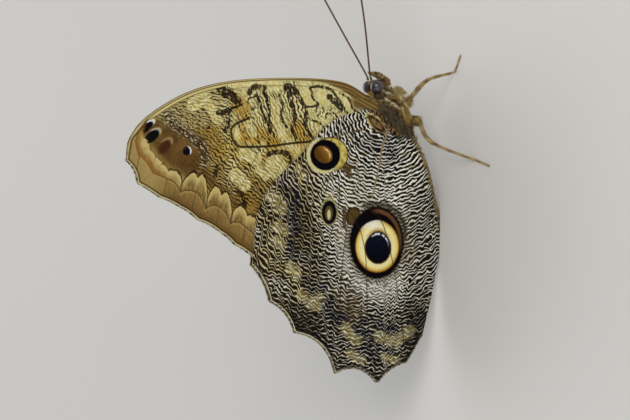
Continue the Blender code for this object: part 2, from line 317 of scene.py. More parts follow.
class Value:
    """What a shader's node gives: a number that the usual signs work on, a colour or a place."""

    __add__, __radd__ = reckoning("ADD"), reckoning("ADD", True)
    __sub__, __rsub__ = reckoning("SUBTRACT"), reckoning("SUBTRACT", True)
    __mul__, __rmul__ = reckoning("MULTIPLY"), reckoning("MULTIPLY", True)
    __truediv__, __rtruediv__ = reckoning("DIVIDE"), reckoning("DIVIDE", True)

    def __init__(self, board, socket):
        self.board = board
        self.socket = socket

    def __abs__(self):
        return self.math("ABSOLUTE")

    def math(self, operation, *others):
        return self.board.put("Math", enumerate((self, *others)), operation=operation)

    def move(self, operation, *others, gives=0):
        return self.board.put("VectorMath", enumerate((self, *others)), gives, operation=operation)

    def rise(self, low, high, start=0.0, stop=1.0):
        """A smooth way from start at low to stop at high."""
        values = {"Value": self, "From Min": low, "From Max": high, "To Min": start, "To Max": stop}
        return self.board.put("MapRange", values, interpolation_type="SMOOTHSTEP")

    def inside(self, edge=1.0, soft=0.06):
        """1 below an edge, falling to 0 across it."""
        return self.rise(edge + soft, edge - soft)

    def near(self, middle, reach, soft):
        """1 close to one value, as on a line along it."""
        return abs(self - middle).inside(reach, soft)

    def noise(self, scale, detail=2.0, roughness=0.5):
        """Cloudy noise at this place."""
        values = {"Vector": self, "Scale": scale, "Detail": detail, "Roughness": roughness}
        return self.board.put("TexNoise", values, noise_dimensions="3D")

    def lay(self, share, other, way="MIX"):
        """Lays another colour over this one."""
        self.socket = self.board.mix(share, self, other, way).socket
        return self


class Board:
    """Lays shader nodes into one tree and joins them."""

    def __init__(self, tree):
        self.tree = tree

    def join(self, value, socket):
        if isinstance(value, Value):
            self.tree.links.new(value.socket, socket)
        else:
            socket.default_value = value

    def put(self, kind, values=(), gives=0, **settings):
        """A new node with its inputs set or joined; gives names the output wanted, or several of them."""
        node = self.tree.nodes.new("ShaderNode" + kind)
        for name, value in settings.items():
            setattr(node, name, value)
        for name, value in dict(values).items():
            self.join(value, node.inputs[name])
        if isinstance(gives, (int, str)):
            return Value(self, node.outputs[gives])
        return [Value(self, node.outputs[name]) for name in gives]

    def mix(self, share, one, other, way="MIX"):
        """From one colour to another, where three numbers are a colour in display values."""
        one, other = (paint(*colour) if isinstance(colour, tuple) else colour for colour in (one, other))
        settings = {"data_type": "RGBA", "blend_type": way, "clamp_factor": True}
        return self.put("Mix", {0: share, 6: one, 7: other}, 2, **settings)

    def kept(self, name, gives="Fac"):
        """What is stored with the points of the mesh."""
        return self.put("Attribute", gives=gives, attribute_name=name)

    def place(self):
        """The point on the piece, in the animal's millimetres."""
        values = {"Vector": self.put("TexCoord", gives="Object"), "Location": (-THORAX_X, 0.0, 0.0),
                  "Scale": (1 / MM,) * 3}
        return self.put("Mapping", values)

    def flat_place(self):
        """The point seen from the side, as (x, z, 0)."""
        x, z = self.put("SeparateXYZ", {"Vector": self.place()}, (0, 2))
        return self.put("CombineXYZ", {0: x, 1: z})

    def group(self, tree, gives=0, **values):
        named = {name.capitalize(): value for name, value in values.items()}
        return self.put("Group", named, gives, node_tree=tree)


class Material(Board):
    """A material's board. Even values are set on its Principled shader itself."""

    def __init__(self, name, roughness, **settings):
        self.made = bpy.data.materials.new(name)
        self.made.use_nodes = True
        super().__init__(self.made.node_tree)
        self.shader = self.tree.nodes["Principled BSDF"]
        self.shader.inputs["Roughness"].default_value = roughness
        for label, value in settings.items():
            label = label.replace("_", " ").title().replace("Ior", "IOR")
            self.shader.inputs[label].default_value = value

    def wear(self, colour, tint=None, height=None, strength=0.0, depth=0.0):
        """Joins the colour, made lighter or darker by a tint about 1, and a bump with its depth."""
        if tint is not None:
            colour.lay(1.0, self.put("CombineColor", {0: tint, 1: tint, 2: tint}), "MULTIPLY")
        self.join(colour, self.shader.inputs["Base Color"])
        if height is not None:
            values = {"Height": height, "Strength": strength, "Distance": depth * MM}
            self.join(self.put("Bump", values), self.shader.inputs["Normal"])
        return self.made


def grouped(name, gives, **takes):
    """Makes a node group of the function below it, which turns the group's inputs into its outputs."""
    def build(work):
        tree = bpy.data.node_groups.new(name, "ShaderNodeTree")
        for label, start in takes.items():
            kind = "NodeSocketFloat" if isinstance(start, float) else "NodeSocketVector"
            socket = tree.interface.new_socket(label.capitalize(), in_out="INPUT", socket_type=kind)
            socket.default_value = start
        for label in gives:
            tree.interface.new_socket(label, in_out="OUTPUT", socket_type="NodeSocketFloat")
        board = Board(tree)
        given = tree.nodes.new("NodeGroupInput").outputs
        found = work(board, *(Value(board, given[label.capitalize()]) for label in takes))
        wanted = tree.nodes.new("NodeGroupOutput").inputs
        for label, value in zip(gives, found):
            board.join(value, wanted[label])
        return tree
    return build


@grouped("patch", ["Mask"], distance=0.0, place=NOWHERE, softness=0.1, raggedness=0.3, grain=1.2)
def patch_group(board, distance, place, softness, raggedness, grain):
    """Where a kept distance is above nothing: a patch with a soft, ragged edge."""
    distance = distance + (place.noise(grain, 3.0, 0.6) - 0.5) * (raggedness * 2.0)
    return [distance.rise(softness * -1.0, softness)]


@grouped("zebra", ["Mask"], place=NOWHERE, turn=0.0, period=0.9, along=0.0, zigzag=0.0, tooth=4.0, sway=0.0,
         waver=0.3, boldness=0.5, softness=0.15)
def zebra_group(board, place, turn, period, along, zigzag, tooth, sway, waver, boldness, softness):
    """Wavering dark striations that fork and end: 1 in the dark line, 0 between two."""
    slow = place.noise(0.22, 2.0) - 0.5
    quick = place.move("ADD", (31.0, 7.0, 0.0)).noise(0.8, 2.0) - 0.5
    fine = place.move("ADD", (3.0, 57.0, 0.0)).noise(2.0, 2.0) - 0.5
    wander = slow * 4.0 + (quick * 1.8 + fine * 0.5)
    teeth = (along + slow * 6.0).math("PINGPONG", tooth * 0.5) / tooth * zigzag
    shift = wander * waver + (teeth * 2.0 + sway)
    step = board.put("CombineXYZ", {0: turn.math("COSINE") * shift, 1: turn.math("SINE") * shift})
    values = {"Vector": place.move("ADD", step), "Scale": 0.5 / period, "Frequency": 2.0, "Anisotropy": 1.0,
              "Orientation": turn}
    line = abs(board.put("TexGabor", values, "Phase", gabor_type="2D") * 2.0 - 1.0)
    level = (1.0 - boldness) + (place.noise(0.9, 3.0, 0.65) - 0.5) * 0.95
    return [line.rise(level - softness, level + softness)]


@grouped("round", ["Out", "Up", "Across"], place=NOWHERE, middle=NOWHERE, half=(1.0, 1.0, 1.0),
         turn=0.0, wobble=0.04)
def round_group(board, place, middle, half, turn, wobble):
    """How far out a place is in a turned ellipse: 0 at its middle, 1 on its edge, a little uneven."""
    away = place.move("SUBTRACT", middle)
    turned = board.put("VectorRotate", {"Vector": away, "Angle": turn}, rotation_type="Z_AXIS")
    share = turned.move("DIVIDE", half)
    uneven = (place.noise(1.1, 2.0) - 0.5) * (wobble * 2.0)
    return [share.move("LENGTH", gives=1) + uneven, *board.put("SeparateXYZ", {0: share}, (0, 1))]


@grouped("scales", ["Tint", "Height"], place=NOWHERE, size=0.1, strength=0.12)
def scales_group(board, place, size, strength):
    """The powder of tiny scales that covers a wing: a tint about 1, and a height for its bump."""
    values = {"Vector": place.move("MULTIPLY", (1.0, 1.0, 0.5)), "Scale": 1.0 / size}
    distance, colour = board.put("TexVoronoi", values, ("Distance", "Color"), feature="F1")
    one = board.put("SeparateColor", {"Color": colour})
    cloud = place.noise(0.5, 3.0) - 0.5
    return [1.0 + ((one - 0.5) + cloud) * strength, one - distance]


def spot(flat, middle, half, turn=0.0, wobble=0.03):
    """How far out of, up in and across an ellipse each place is."""
    half = flat.board.put("CombineXYZ", {0: half[0], 1: half[1], 2: 1.0})
    return flat.board.group(round_group, (0, 1, 2), place=flat, middle=(*middle, 0.0), half=half,
                            turn=math.radians(turn), wobble=wobble)


def zebra(flat, **values):
    """The dark lines of a wing: 1 in a line, 0 between two."""
    kept = flat.board.kept
    return flat.board.group(zebra_group, place=flat, turn=kept("turn"), along=kept("along"),
                            boldness=kept("bold"), **values)


def patch(flat, name, softness, raggedness, grain):
    """The patch of the strokes kept under a name."""
    return flat.board.group(patch_group, distance=flat.board.kept(name), place=flat, softness=softness,
                            raggedness=raggedness, grain=grain)


SCALE_SIZE = 0.11


def powdered(board, colour, strength, lines=0.0):
    """Lays the wing's fine scales over its colour, its dark lines standing out a little."""
    tint, height = board.group(scales_group, (0, 1), place=board.place(), size=SCALE_SIZE, strength=strength)
    return board.wear(colour, tint, height + lines * 0.3, 0.35, 0.03)


def hindwing_finish():
    """Fine zebra lines in black and cream, with one great ringed eyespot and two small ones."""
    board = Material("hindwing_scales", 0.72, specular_ior_level=0.05)
    flat, kept, mix = board.flat_place(), board.kept, board.mix
    warm, mist, dusk = kept("warm"), kept("mist"), kept("dusk")
    lines = zebra(flat, period=0.9, zigzag=kept("zigzag"), tooth=2.7, sway=kept("sway"), waver=0.3,
                  softness=0.2)
    cloud, fine_cloud = flat.noise(0.16, 3.0), flat.noise(0.7, 3.0)
    pale = mix(warm, (228, 225, 210), (196, 180, 112))
    pale.lay(cloud.rise(0.5, 0.62) * 0.7, (236, 232, 216))
    pale.lay(fine_cloud.rise(0.5, 0.68) * 0.75, (158, 136, 82))
    pale.lay(dusk * 0.32, mix(warm, (108, 99, 84), (116, 101, 66)))
    bright = flat.move("ADD", (9.0, 0.0, 0.0)).noise(1.1, 2.0, 0.6).rise(0.56, 0.64) * dusk
    pale.lay(bright * 0.75, (216, 206, 172))
    pale.lay(mist * 0.6, (204, 200, 190))
    dark = mix(warm, (14, 11, 10), (30, 22, 14))
    dark.lay(fine_cloud.rise(0.5, 0.3) * 0.5, (62, 46, 26))
    dark.lay(mist * 0.8, (84, 76, 68))
    colour = mix(lines * (1.0 - mist * 0.2), pale, dark)

    # Soft clouds of olive, cream and blue-black along the margin, under and over the lines.
    colour.lay(patch(flat, "olive", 1.6, 1.2, 0.5) * 0.18, (112, 90, 40))
    cream = mix(fine_cloud.rise(0.42, 0.6), (194, 174, 106), (230, 221, 182))
    colour.lay(patch(flat, "cream", 0.6, 1.3, 0.9) * 0.9 * (1.0 - lines * 0.72), cream)
    ink = mix(fine_cloud.rise(0.4, 0.6), (12, 10, 13), (20, 19, 32))
    colour.lay(patch(flat, "ink", 1.0, 1.4, 0.8) * 0.85 * (0.4 + lines * 0.6), ink)
    brown = mix(flat.noise(3.5, 2.0, 0.6).rise(0.35, 0.6), (52, 38, 16), (86, 64, 28))
    colour.lay(patch(flat, "brown", 0.25, 0.35, 1.2) * 0.92, brown)
    colour.lay(patch(flat, "shade", 0.5, 0.8, 1.0) * 0.9, (20, 19, 20))
    out, up, across = spot(flat, (-24.1, 23.8), (2.3, 2.2), wobble=0.12)
    colour.lay(out.inside(0.95, 0.1), mix(out.rise(1.0, 0.6), (44, 33, 18), (88, 66, 30)))

    # The hairy base and the small lens-shaped mark beside it.
    strand = flat.move("MULTIPLY", (0.5, 1.6, 1.0)).noise(1.6, 2.0, 0.6)
    colour.lay(kept("hairy"), mix(strand.rise(0.46, 0.6), (22, 19, 24), (134, 106, 54)))
    lens = kept("lens")
    colour.lay(lens.rise(-0.35, -0.15) * kept("lens_side"), (190, 176, 118))
    inner = mix(fine_cloud.rise(0.4, 0.6), (40, 26, 16), (92, 68, 34))
    inner.lay((lens * 9.0).math("SINE").rise(0.7, 0.95) * 0.6, (168, 148, 100))
    colour.lay(lens.rise(-0.05, 0.15), inner)

    # The great eyespot: black, a golden ring, and a blue-black pupil with a white arc.
    out, up, across = spot(flat, (-30.3, 17.35), (8.65, 7.4), wobble=0.025)
    colour.lay(out.inside(1.12, 0.16) * 0.7, (70, 56, 34))
    colour.lay(out.inside(1.0, 0.04), (5, 3, 6))
    crescent = (up * 0.75 - across * 0.85).rise(0.42, 0.75) * out.near(0.865, 0.055, 0.03)
    colour.lay(crescent, mix(up.rise(-0.1, 0.7), (72, 57, 32), (102, 65, 40)))
    out, up, across = spot(flat, (-31.2, 17.25), (6.3, 6.05), wobble=0.015)
    ring = mix(out.rise(1.0, 0.9), (132, 84, 24), (222, 192, 96))
    ring.lay(out.rise(0.93, 0.78), (234, 222, 158))
    ring.lay(up.rise(-0.1, -0.75) * out.rise(0.84, 0.98) * 0.55, (168, 116, 36))
    ring.lay(up.rise(0.55, 0.85) * across.rise(-0.45, 0.1) * 0.7, (244, 244, 232))
    colour.lay(out.inside(0.99, 0.03), ring)
    narrow = 3.5 + up.rise(0.1, 0.75) * -0.55
    out, up, across = spot(flat, (-31.5, 17.0), (3.8, narrow), wobble=0.03)
    colour.lay(out.rise(1.34, 1.0) * up.rise(0.45, 0.95) * 0.85, (150, 108, 34))
    colour.lay(out.inside(1.05, 0.06), (76, 50, 20))
    pupil = mix(up.rise(-0.9, 0.7), (2, 2, 9), (7, 9, 26))
    pupil.lay(flat.noise(4.2, 2.0, 0.7).rise(0.6, 0.72) * up.rise(-0.6, 0.8), (64, 76, 120))
    colour.lay(out.inside(0.98, 0.05), pupil)
    broken = flat.noise(1.4, 1.0).rise(0.34, 0.44)
    arc = out.near(0.86, 0.055, 0.05) * ((up - across * 0.45).rise(0.35, 0.7) * broken)
    colour.lay(arc, (226, 228, 238))

    # Veins: dark hair lines lower down, and a tan one from the base.
    colour.lay(kept("vein").rise(0.2, 0.08) * 0.8, (36, 25, 18))
    colour.lay(kept("pale_vein").rise(0.26, 0.14) * 0.85, (138, 122, 86))

    # The spot near the front edge: a black ring round a golden-brown drop, with a cream crescent outside.
    out, up, across = spot(flat, (-9.35, 29.75), (4.0, 4.45), wobble=0.02)
    beside = (up * 0.5 - across).rise(-0.55, 0.25)
    colour.lay(out.inside(1.04, 0.05) * beside, (74, 52, 24))
    golden = mix(fine_cloud.rise(0.4, 0.62), (206, 190, 104), (158, 134, 62))
    colour.lay(out.inside(0.97, 0.04) * beside, golden)
    out, up, across = spot(flat, (-9.55, 31.75), (4.3, 4.6), wobble=0.05)
    colour.lay(out.inside(1.0, 0.06) * (1.0 - beside), (204, 194, 140))
    out, up, across = spot(flat, (-9.5, 31.35), (3.75, 4.15), wobble=0.04)
    colour.lay(out.inside(0.98, 0.05), (4, 2, 9))
    out, up, across = spot(flat, (-9.35, 31.85), (2.0, 2.55), 25.0, 0.04)
    side_on = up * 0.8 - across * 0.6
    drop = mix(side_on.rise(-0.5, 0.6), (88, 58, 18), (134, 90, 30))
    glint = out.near(0.68, 0.1, 0.08) * side_on.rise(0.25, 0.6)
    drop.lay(glint * 0.7, (196, 150, 74))
    drop.lay(glint * flat.noise(2.6, 1.0).rise(0.5, 0.58), (244, 226, 190))
    colour.lay(out.inside(0.97, 0.08), drop)
    colour.lay(patch(flat, "outline", 0.06, 0.08, 1.4), (84, 62, 32))

    # The small oval spot in the middle of the wing, in four ovals from the outside in.
    for middle, half, edge, soft, strength, tone in (
            ((-22.9, 30.3), (3.3, 2.35), 1.02, 0.06, 0.7, (150, 140, 92)),
            ((-23.1, 30.3), (2.9, 2.05), 0.98, 0.07, 1.0, (8, 6, 9)),
            ((-23.3, 30.35), (1.8, 1.1), 0.98, 0.14, 1.0, (84, 72, 34)),
            ((-23.6, 30.35), (1.2, 0.5), 0.95, 0.25, 1.0, (196, 190, 142))):
        out, up, across = spot(flat, middle, half)
        colour.lay(out.inside(edge, soft) * strength, tone)

    # A pale hair line just inside the margin, with a dark one beside it.
    rim = kept("rim")
    colour.lay(rim.rise(0.85, 0.65) * 0.7, (22, 16, 12))
    colour.lay(rim.rise(0.22, 0.12) * kept("hem"), (206, 196, 164))
    return powdered(board, colour, 0.16, lines)


def forewing_finish():
    """Cream and ochre with fine brown lines, dark knots along the front, and scallops along the margin."""
    board = Material("forewing_scales", 0.72, specular_ior_level=0.05)
    flat, kept, mix = board.flat_place(), board.kept, board.mix
    lines = zebra(flat, period=0.8, zigzag=0.3, tooth=2.4, sway=0.0, waver=0.34, softness=0.22)
    cloud, fine_cloud = flat.noise(0.2, 3.0), flat.noise(0.8, 3.0)
    busy, tip = kept("busy"), kept("tip")
    pale = mix(kept("warm"), (216, 208, 150), (190, 164, 78))
    pale.lay(cloud.rise(0.5, 0.65), (222, 212, 150))
    pale.lay(fine_cloud.rise(0.5, 0.64) * 0.6, (160, 124, 50))
    pale.lay(patch(flat, "gold", 0.9, 1.2, 0.8) * 0.8, (180, 144, 50))
    pale.lay(kept("dusk") * 0.6, (128, 102, 52))
    dark = mix(fine_cloud.rise(0.4, 0.6), (32, 22, 12), (74, 50, 24))
    colour = mix(lines * busy, pale, dark)
    light = mix(fine_cloud.rise(0.4, 0.65), (204, 188, 116), (224, 216, 164))
    colour.lay(patch(flat, "cream", 0.3, 0.7, 1.0) * (1.0 - lines * (busy * 0.55)), light)
    freckle = flat.noise(1.5, 2.0, 0.6).rise(0.52, 0.57) * patch(flat, "freckled", 0.6, 0.6, 0.8)
    colour.lay(freckle, (30, 26, 24))
    speckle = flat.noise(2.4, 2.0, 0.65).rise(0.6, 0.68)
    colour.lay(speckle * kept("ink").rise(-2.2, -0.2) * 0.8, (46, 32, 18))
    slit = flat.move("MULTIPLY", (1.0, 2.2, 1.0)).noise(0.6, 3.0, 0.6).rise(0.54, 0.6)
    ink = mix(fine_cloud.rise(0.45, 0.6), (18, 13, 11), (46, 31, 17))
    colour.lay(patch(flat, "ink", 0.12, 0.5, 1.2) * (0.96 - slit * 0.65), ink)
    brown = mix(cloud.rise(0.35, 0.65), (76, 52, 22), (104, 76, 36))
    colour.lay(patch(flat, "brown", 1.4, 1.2, 0.5) * 0.94, brown)

    # White dashes where the brown cloud of the tip begins.
    band = patch(flat, "frosted", 0.7, 0.9, 0.6)
    colour.lay(band * 0.75, (48, 34, 20))
    dash = band * flat.noise(1.2, 2.0, 0.6).rise(0.48, 0.56) * lines.rise(0.25, 0.05)
    colour.lay(dash * 0.7, (206, 194, 160))

    # Four spots near the tip: two black ovals, a brown one and a round eyespot.
    for middle, half, turn, fill, rim_share, soft in (
            ((-3.5, 78.0), (0.85, 2.5), -40.0, (8, 6, 9), 0.7, 0.1),
            ((-5.5, 76.5), (1.15, 2.35), -38.0, (10, 8, 10), 0.2, 0.12),
            ((-7.8, 73.2), (1.15, 2.1), -48.0, (66, 38, 14), 0.0, 0.35),
            ((-8.8, 67.6), (1.05, 1.05), 0.0, (8, 8, 18), 0.85, 0.1)):
        out, up, across = spot(flat, middle, half, turn)
        beside = up * 0.35 - across
        colour.lay(out.inside(1.22, 0.16) * beside.rise(0.2, 0.8) * 0.75, (186, 160, 112))
        colour.lay(out.inside(1.0, soft), fill)
        colour.lay(out.near(0.99, 0.14, 0.08) * beside.rise(0.5, 0.85) * rim_share, (240, 240, 240))

    # Two rows of scallops along the outer margin, the inner one crowned and outlined in dark brown.
    rim, reach = kept("rim"), kept("reach")
    ragged = (flat.noise(0.9, 3.0, 0.6) - 0.5) * 1.5
    crown = kept("crown") + ragged
    scallop = kept("scallop") + ragged * 0.35
    plain = 1.0 - tip * 0.75
    streak = flat.move("MULTIPLY", (0.5, 1.3, 1.0)).noise(1.2, 2.0).rise(0.42, 0.62)
    inner = mix(crown.rise(0.3, 3.2), (196, 176, 112), (116, 90, 46)).lay(streak * 0.35, (188, 166, 104))
    colour.lay(crown.rise(0.1, 0.4) * reach, inner)
    outlined = crown.rise(-0.55, -0.15) * crown.rise(0.45, 0.15) * plain
    colour.lay(outlined * reach * 0.9, (46, 30, 16))
    between = kept("cell_edge").rise(0.42, 0.12) * crown.rise(0.0, 0.3)
    colour.lay(between * plain * 0.8, (64, 44, 22))
    outer = mix(rim.rise(0.6, 3.8), (104, 80, 40), (132, 104, 56))
    outer.lay(streak * 0.4 * rim.rise(1.0, 2.0), (152, 124, 72))
    outer.lay(tip * 0.75, (166, 144, 88))
    outer.lay(scallop.rise(-0.9, -0.2) * scallop.rise(0.1, -0.1) * 0.5, (176, 150, 94))
    colour.lay(scallop.rise(0.1, -0.15), outer)
    colour.lay(abs(scallop).rise(0.26, 0.08) * 0.75, (72, 48, 22))
    colour.lay(tip * abs(scallop - 0.4).rise(1.1, 0.1) * 0.75, (142, 98, 42))
    colour.lay(kept("middle").rise(0.28, 0.08) * scallop.rise(0.2, -0.2) * 0.55, (84, 60, 28))
    colour.lay(rim.rise(0.75, 0.6) * 0.75, (62, 44, 22))
    colour.lay(rim.rise(0.26, 0.18) * 0.9, (206, 192, 146))

    # The front edge: a golden-brown band ruled with darker lines.
    front = kept("front")
    gold_band = mix(kept("tan"), (204, 188, 126), (128, 104, 56))
    gold_band.lay(front.rise(0.2, 0.1), (126, 98, 50))
    gold_band.lay((front * 8.2 - 2.0).math("SINE").rise(0.1, 0.65) * 0.8, (64, 46, 24))
    colour.lay((front - kept("band")).rise(0.12, -0.12), gold_band)
    colour.lay(kept("vein").rise(0.2, 0.08) * 0.45, (84, 60, 30))
    colour.lay(kept("cell_vein").rise(0.36, 0.2) * 0.92, (40, 27, 14))
    return powdered(board, colour, 0.16, lines)


def upper_finish():
    """The upper sides, which face each other: brown, with a blue bloom towards the base."""
    board = Material("upper_scales", 0.5, sheen_weight=0.2, specular_ior_level=0.4)
    place = board.place()
    colour = board.mix(place.noise(0.12, 3.0).rise(0.35, 0.7), (62, 44, 36), (44, 46, 78))
    colour.lay(board.kept("rim").rise(14.0, 3.0), (58, 40, 28))
    colour.lay(board.kept("vein").rise(0.26, 0.1) * 0.5, (34, 24, 20))
    return powdered(board, colour, 0.2)


def fringe_finish():
    """The blades' narrow edges, mottled in dark and pale brown."""
    board = Material("wing_fringe", 0.7, sheen_weight=0.2)
    place = board.place()
    colour = board.mix(place.noise(1.6, 2.0).rise(0.4, 0.6), (84, 62, 36), (190, 166, 108))
    return board.wear(colour, None, place.noise(9.0, 2.0), 0.3, 0.03)


# Wings


def body_line(forward):
    """A place (x, z) on the thorax's own axis."""
    return THORAX[0] + forward * math.cos(BODY_PITCH), THORAX[1] + forward * math.sin(BODY_PITCH)


def body_swell(x, z):
    """How far the wings bow out at (x, z) to clear the thorax and abdomen between them."""
    thorax = [(0, THORAX_HALF[2]), *THORAX_ENDS]
    middles = [(*body_line(forward), half_width) for forward, half_width in thorax]
    rings = [(*place, radius) for place, radius in zip(ABDOMEN_LINE[1:-1], ABDOMEN_RADII[1:-1])]
    middles += rings
    middles += [tuple(np.add(one, other) / 2) for one, other in zip(rings, rings[1:])]
    total = 0.0
    for middle_x, middle_z, half_width in middles:
        distance = np.hypot(x - middle_x, z - middle_z)
        height = half_width + WING_THICKNESS / 2 + CLEARANCE
        spread = SWELL_SPREAD * half_width + SWELL_EXTRA
        total = total + (height * np.exp(-((distance / spread) ** 2))) ** SWELL_BLEND
    return total ** (1 / SWELL_BLEND)


def forewing_depth(x, z):
    return np.hypot(FORE_HALF_GAP, body_swell(x, z))


def hindwing_depth(x, z):
    close_in = HIND_CLOSE_IN * ramp(-x, -CLOSE_IN_FROM, CLOSE_IN_OVER - CLOSE_IN_FROM)
    return forewing_depth(x, z) + HIND_STEP - close_in


def scalloped_edge(tips, sags, steps):
    """The outer margin: between one vein's tip and the next it sags inwards by a share of the chord."""
    edge = []
    for start, stop, sag in zip(tips, tips[1:], sags):
        start, stop = np.array(start), np.array(stop)
        chord = stop - start
        inward = np.array((-chord[1], chord[0])) * sag
        inward *= math.copysign(1.0, inward @ (np.array(WING_MIDDLE) - start))
        for t in np.arange(steps) / steps:
            edge.append(start + chord * t + inward * 4 * t * (1 - t))
    return np.array([*edge, tips[-1]])


def wing_outline(root, front, tips, sags, rear):
    return {
        "root": smooth_path(root, EDGE_POINTS),
        "front": smooth_path(front, EDGE_POINTS),
        "rear": smooth_path(rear, EDGE_POINTS),
        "smooth_margin": smooth_path(tips, EDGE_POINTS),
        "margin": scalloped_edge(tips, sags, MARGIN_STEPS),
    }


def along_edge(path, share):
    """Places at shares of a path whose points are evenly spaced."""
    steps = share * (len(path) - 1)
    return np.column_stack([np.interp(steps, np.arange(len(path)), column) for column in path.T])


def wing_places(outline, along, across):
    """The blade's (x, z) at shares from root to margin and from front to rear, spanned by its four edges."""
    share = along ** ROOT_CROWDING
    front, rear = along_edge(outline["front"], share), along_edge(outline["rear"], share)
    root, smooth = along_edge(outline["root"], across), along_edge(outline["smooth_margin"], across)
    margin = along_edge(outline["margin"], across)
    u, v = share[:, None], across[:, None]
    first, last = outline["root"][[0, -1]], outline["smooth_margin"][[0, -1]]
    sides = (1 - v) * front + v * rear
    ends = (1 - u) * root + u * smooth
    corners = (1 - u) * ((1 - v) * first[0] + v * first[1]) + u * ((1 - v) * last[0] + v * last[1])
    return sides + ends - corners + (margin - smooth) * u ** SCALLOP_REACH


def distance_to(path, places):
    """How far each (x, z) place is from a line through points."""
    nearest = np.full(len(places), 1e9)
    for start, stop in zip(path, path[1:]):
        start, chord = np.asarray(start, float), np.subtract(stop, start)
        share = np.clip((places - start) @ chord / max(chord @ chord, 1e-12), 0.0, 1.0)
        nearest = np.minimum(nearest, np.linalg.norm(places - start - share[:, None] * chord, axis=1))
    return nearest


FAR_OUTSIDE = 20.0


def strokes(marks, places):
    """How far inside a set of brush strokes places are. Each is a half width and a line."""
    most = np.full(len(places), -1e9)
    for half_width, line in marks:
        path = smooth_path(line, 4 * len(line)) if len(line) > 2 else line
        most = np.maximum(most, half_width - distance_to(path, places))
    return np.maximum(most, -FAR_OUTSIDE)


# The forewing's marks: half widths and lines in millimetres.
FORE_INK = [
    (1.1, [(6.2, 59.2), (5.0, 57.9)]),
    (1.2, [(5.0, 57.9), (4.0, 55.7), (3.2, 54.6)]),
    (0.6, [(1.2, 56.2), (0.3, 57.8), (0.2, 59.6)]),
    (0.55, [(0.4, 57.1), (-2.0, 56.8), (-4.1, 57.6)]),
    (0.75, [(5.1, 51.3), (6.3, 49.8), (6.2, 47.4)]),
    (0.42, [(5.7, 47.9), (3.6, 46.6), (1.2, 46.1), (-1.4, 46.3), (-3.2, 45.5)]),
    (0.4, [(4.5, 49.5), (2.4, 48.4), (0.0, 47.7), (-2.3, 46.6), (-4.4, 45.8)]),
    (0.2, [(3.0, 51.9), (3.7, 51.3), (4.0, 49.5), (2.6, 49.5), (0.9, 50.3), (2.3, 51.6), (3.0, 51.9)]),
    (1.15, [(6.4, 41.2), (5.6, 39.6)]),
    (0.5, [(6.5, 41.3), (3.7, 40.8), (1.6, 39.7), (-1.0, 39.3), (-3.2, 40.0), (-5.8, 38.9)]),
    (0.45, [(5.6, 38.6), (3.9, 37.8), (0.9, 36.2), (-1.0, 36.6), (-3.6, 36.0), (-5.5, 34.4)]),
    (0.34, [(4.5, 43.4), (2.0, 42.6), (-0.5, 42.9), (-3.0, 41.5)]),
    (0.36, [(6.3, 35.4), (6.7, 34.2), (6.6, 31.3), (5.7, 29.2), (3.6, 27.4), (1.3, 25.9), (0.6, 25.2)]),
    (0.3, [(6.3, 35.3), (5.4, 34.6), (4.2, 34.6), (2.5, 33.0), (2.1, 34.0), (1.9, 36.0)]),
    (0.75, [(4.3, 30.0), (3.2, 28.5), (1.6, 26.6)]),
    (0.26, [(5.3, 27.1), (3.9, 24.7), (1.8, 23.9), (0.8, 22.8)]),
    (0.26, [(-0.4, 36.2), (-1.2, 34.9), (-1.7, 33.0), (-2.8, 31.7), (-3.8, 31.3)]),
    (0.6, [(-9.5, 46.3), (-8.9, 44.2), (-9.1, 41.6), (-10.2, 40.5), (-11.2, 40.0)]),
    (0.35, [(2.2, 53.2), (1.4, 55.6)]),
    (0.6, [(-12.6, 59.6), (-14.4, 60.2)]),
    (0.5, [(-17.6, 54.6), (-19.0, 53.2), (-21.5, 52.4)]),
]
FORE_CREAM = [
    (1.3, [(7.4, 55.0), (7.2, 50.0), (6.6, 45.0), (7.0, 43.4)]),
    (1.6, [(6.0, 37.6), (5.6, 36.6), (2.0, 35.0)]),
    (1.1, [(5.0, 32.6), (3.2, 31.6)]),
    (0.9, [(6.2, 28.0), (4.4, 26.2), (2.2, 25.2)]),
    (1.0, [(2.6, 45.0), (0.2, 44.6), (-3.0, 43.6), (-5.2, 42.4)]),
    (0.8, [(-4.0, 54.8), (-5.4, 54.4)]),
    (2.6, [(-11.9, 44.5), (-13.2, 43.6)]),
    (1.5, [(-9.4, 52.6), (-10.6, 49.6)]),
    (1.7, [(-14.4, 55.0), (-16.4, 52.6)]),
    (1.2, [(1.6, 61.6), (-1.4, 59.6)]),
    (1.2, [(-2.8, 51.6), (-4.4, 50.6)]),
    (1.0, [(-13.0, 49.0), (-14.6, 47.0)]),
    (1.6, [(3.8, 63.0), (2.0, 66.0)]),
]
FORE_GOLD = [
    (2.4, [(-4.6, 52.4), (-5.0, 49.6)]),
    (1.8, [(-3.0, 38.4), (-5.0, 37.2)]),
    (2.2, [(2.6, 54.4), (0.8, 53.0)]),
    (3.0, [(-20.4, 52.6), (-22.0, 50.0)]),
    (1.6, [(-5.0, 46.8), (-6.2, 45.0)]),
    (2.4, [(-8.0, 60.0), (-5.0, 61.6)]),
]
FORE_BROWN = [
    (4.0, [(-6.8, 72.4), (-8.4, 66.6)]),
    (2.8, [(-4.4, 75.6), (-9.6, 71.0), (-12.4, 67.0)]),
    (1.0, [(-13.6, 63.4), (-16.4, 61.2)]),
    (0.9, [(-18.2, 58.6), (-21.4, 55.2)]),
    (1.6, [(3.2, 22.6), (1.7, 20.2), (0.4, 18.6)]),
]
FORE_FROST = [(1.2, [(-0.6, 72.8), (-3.6, 69.6), (-6.0, 65.6), (-8.6, 63.2), (-11.4, 63.0)])]
FORE_FRECKLES = [(1.5, [(0.9, 33.3), (0.5, 30.1), (-0.9, 26.8)])]

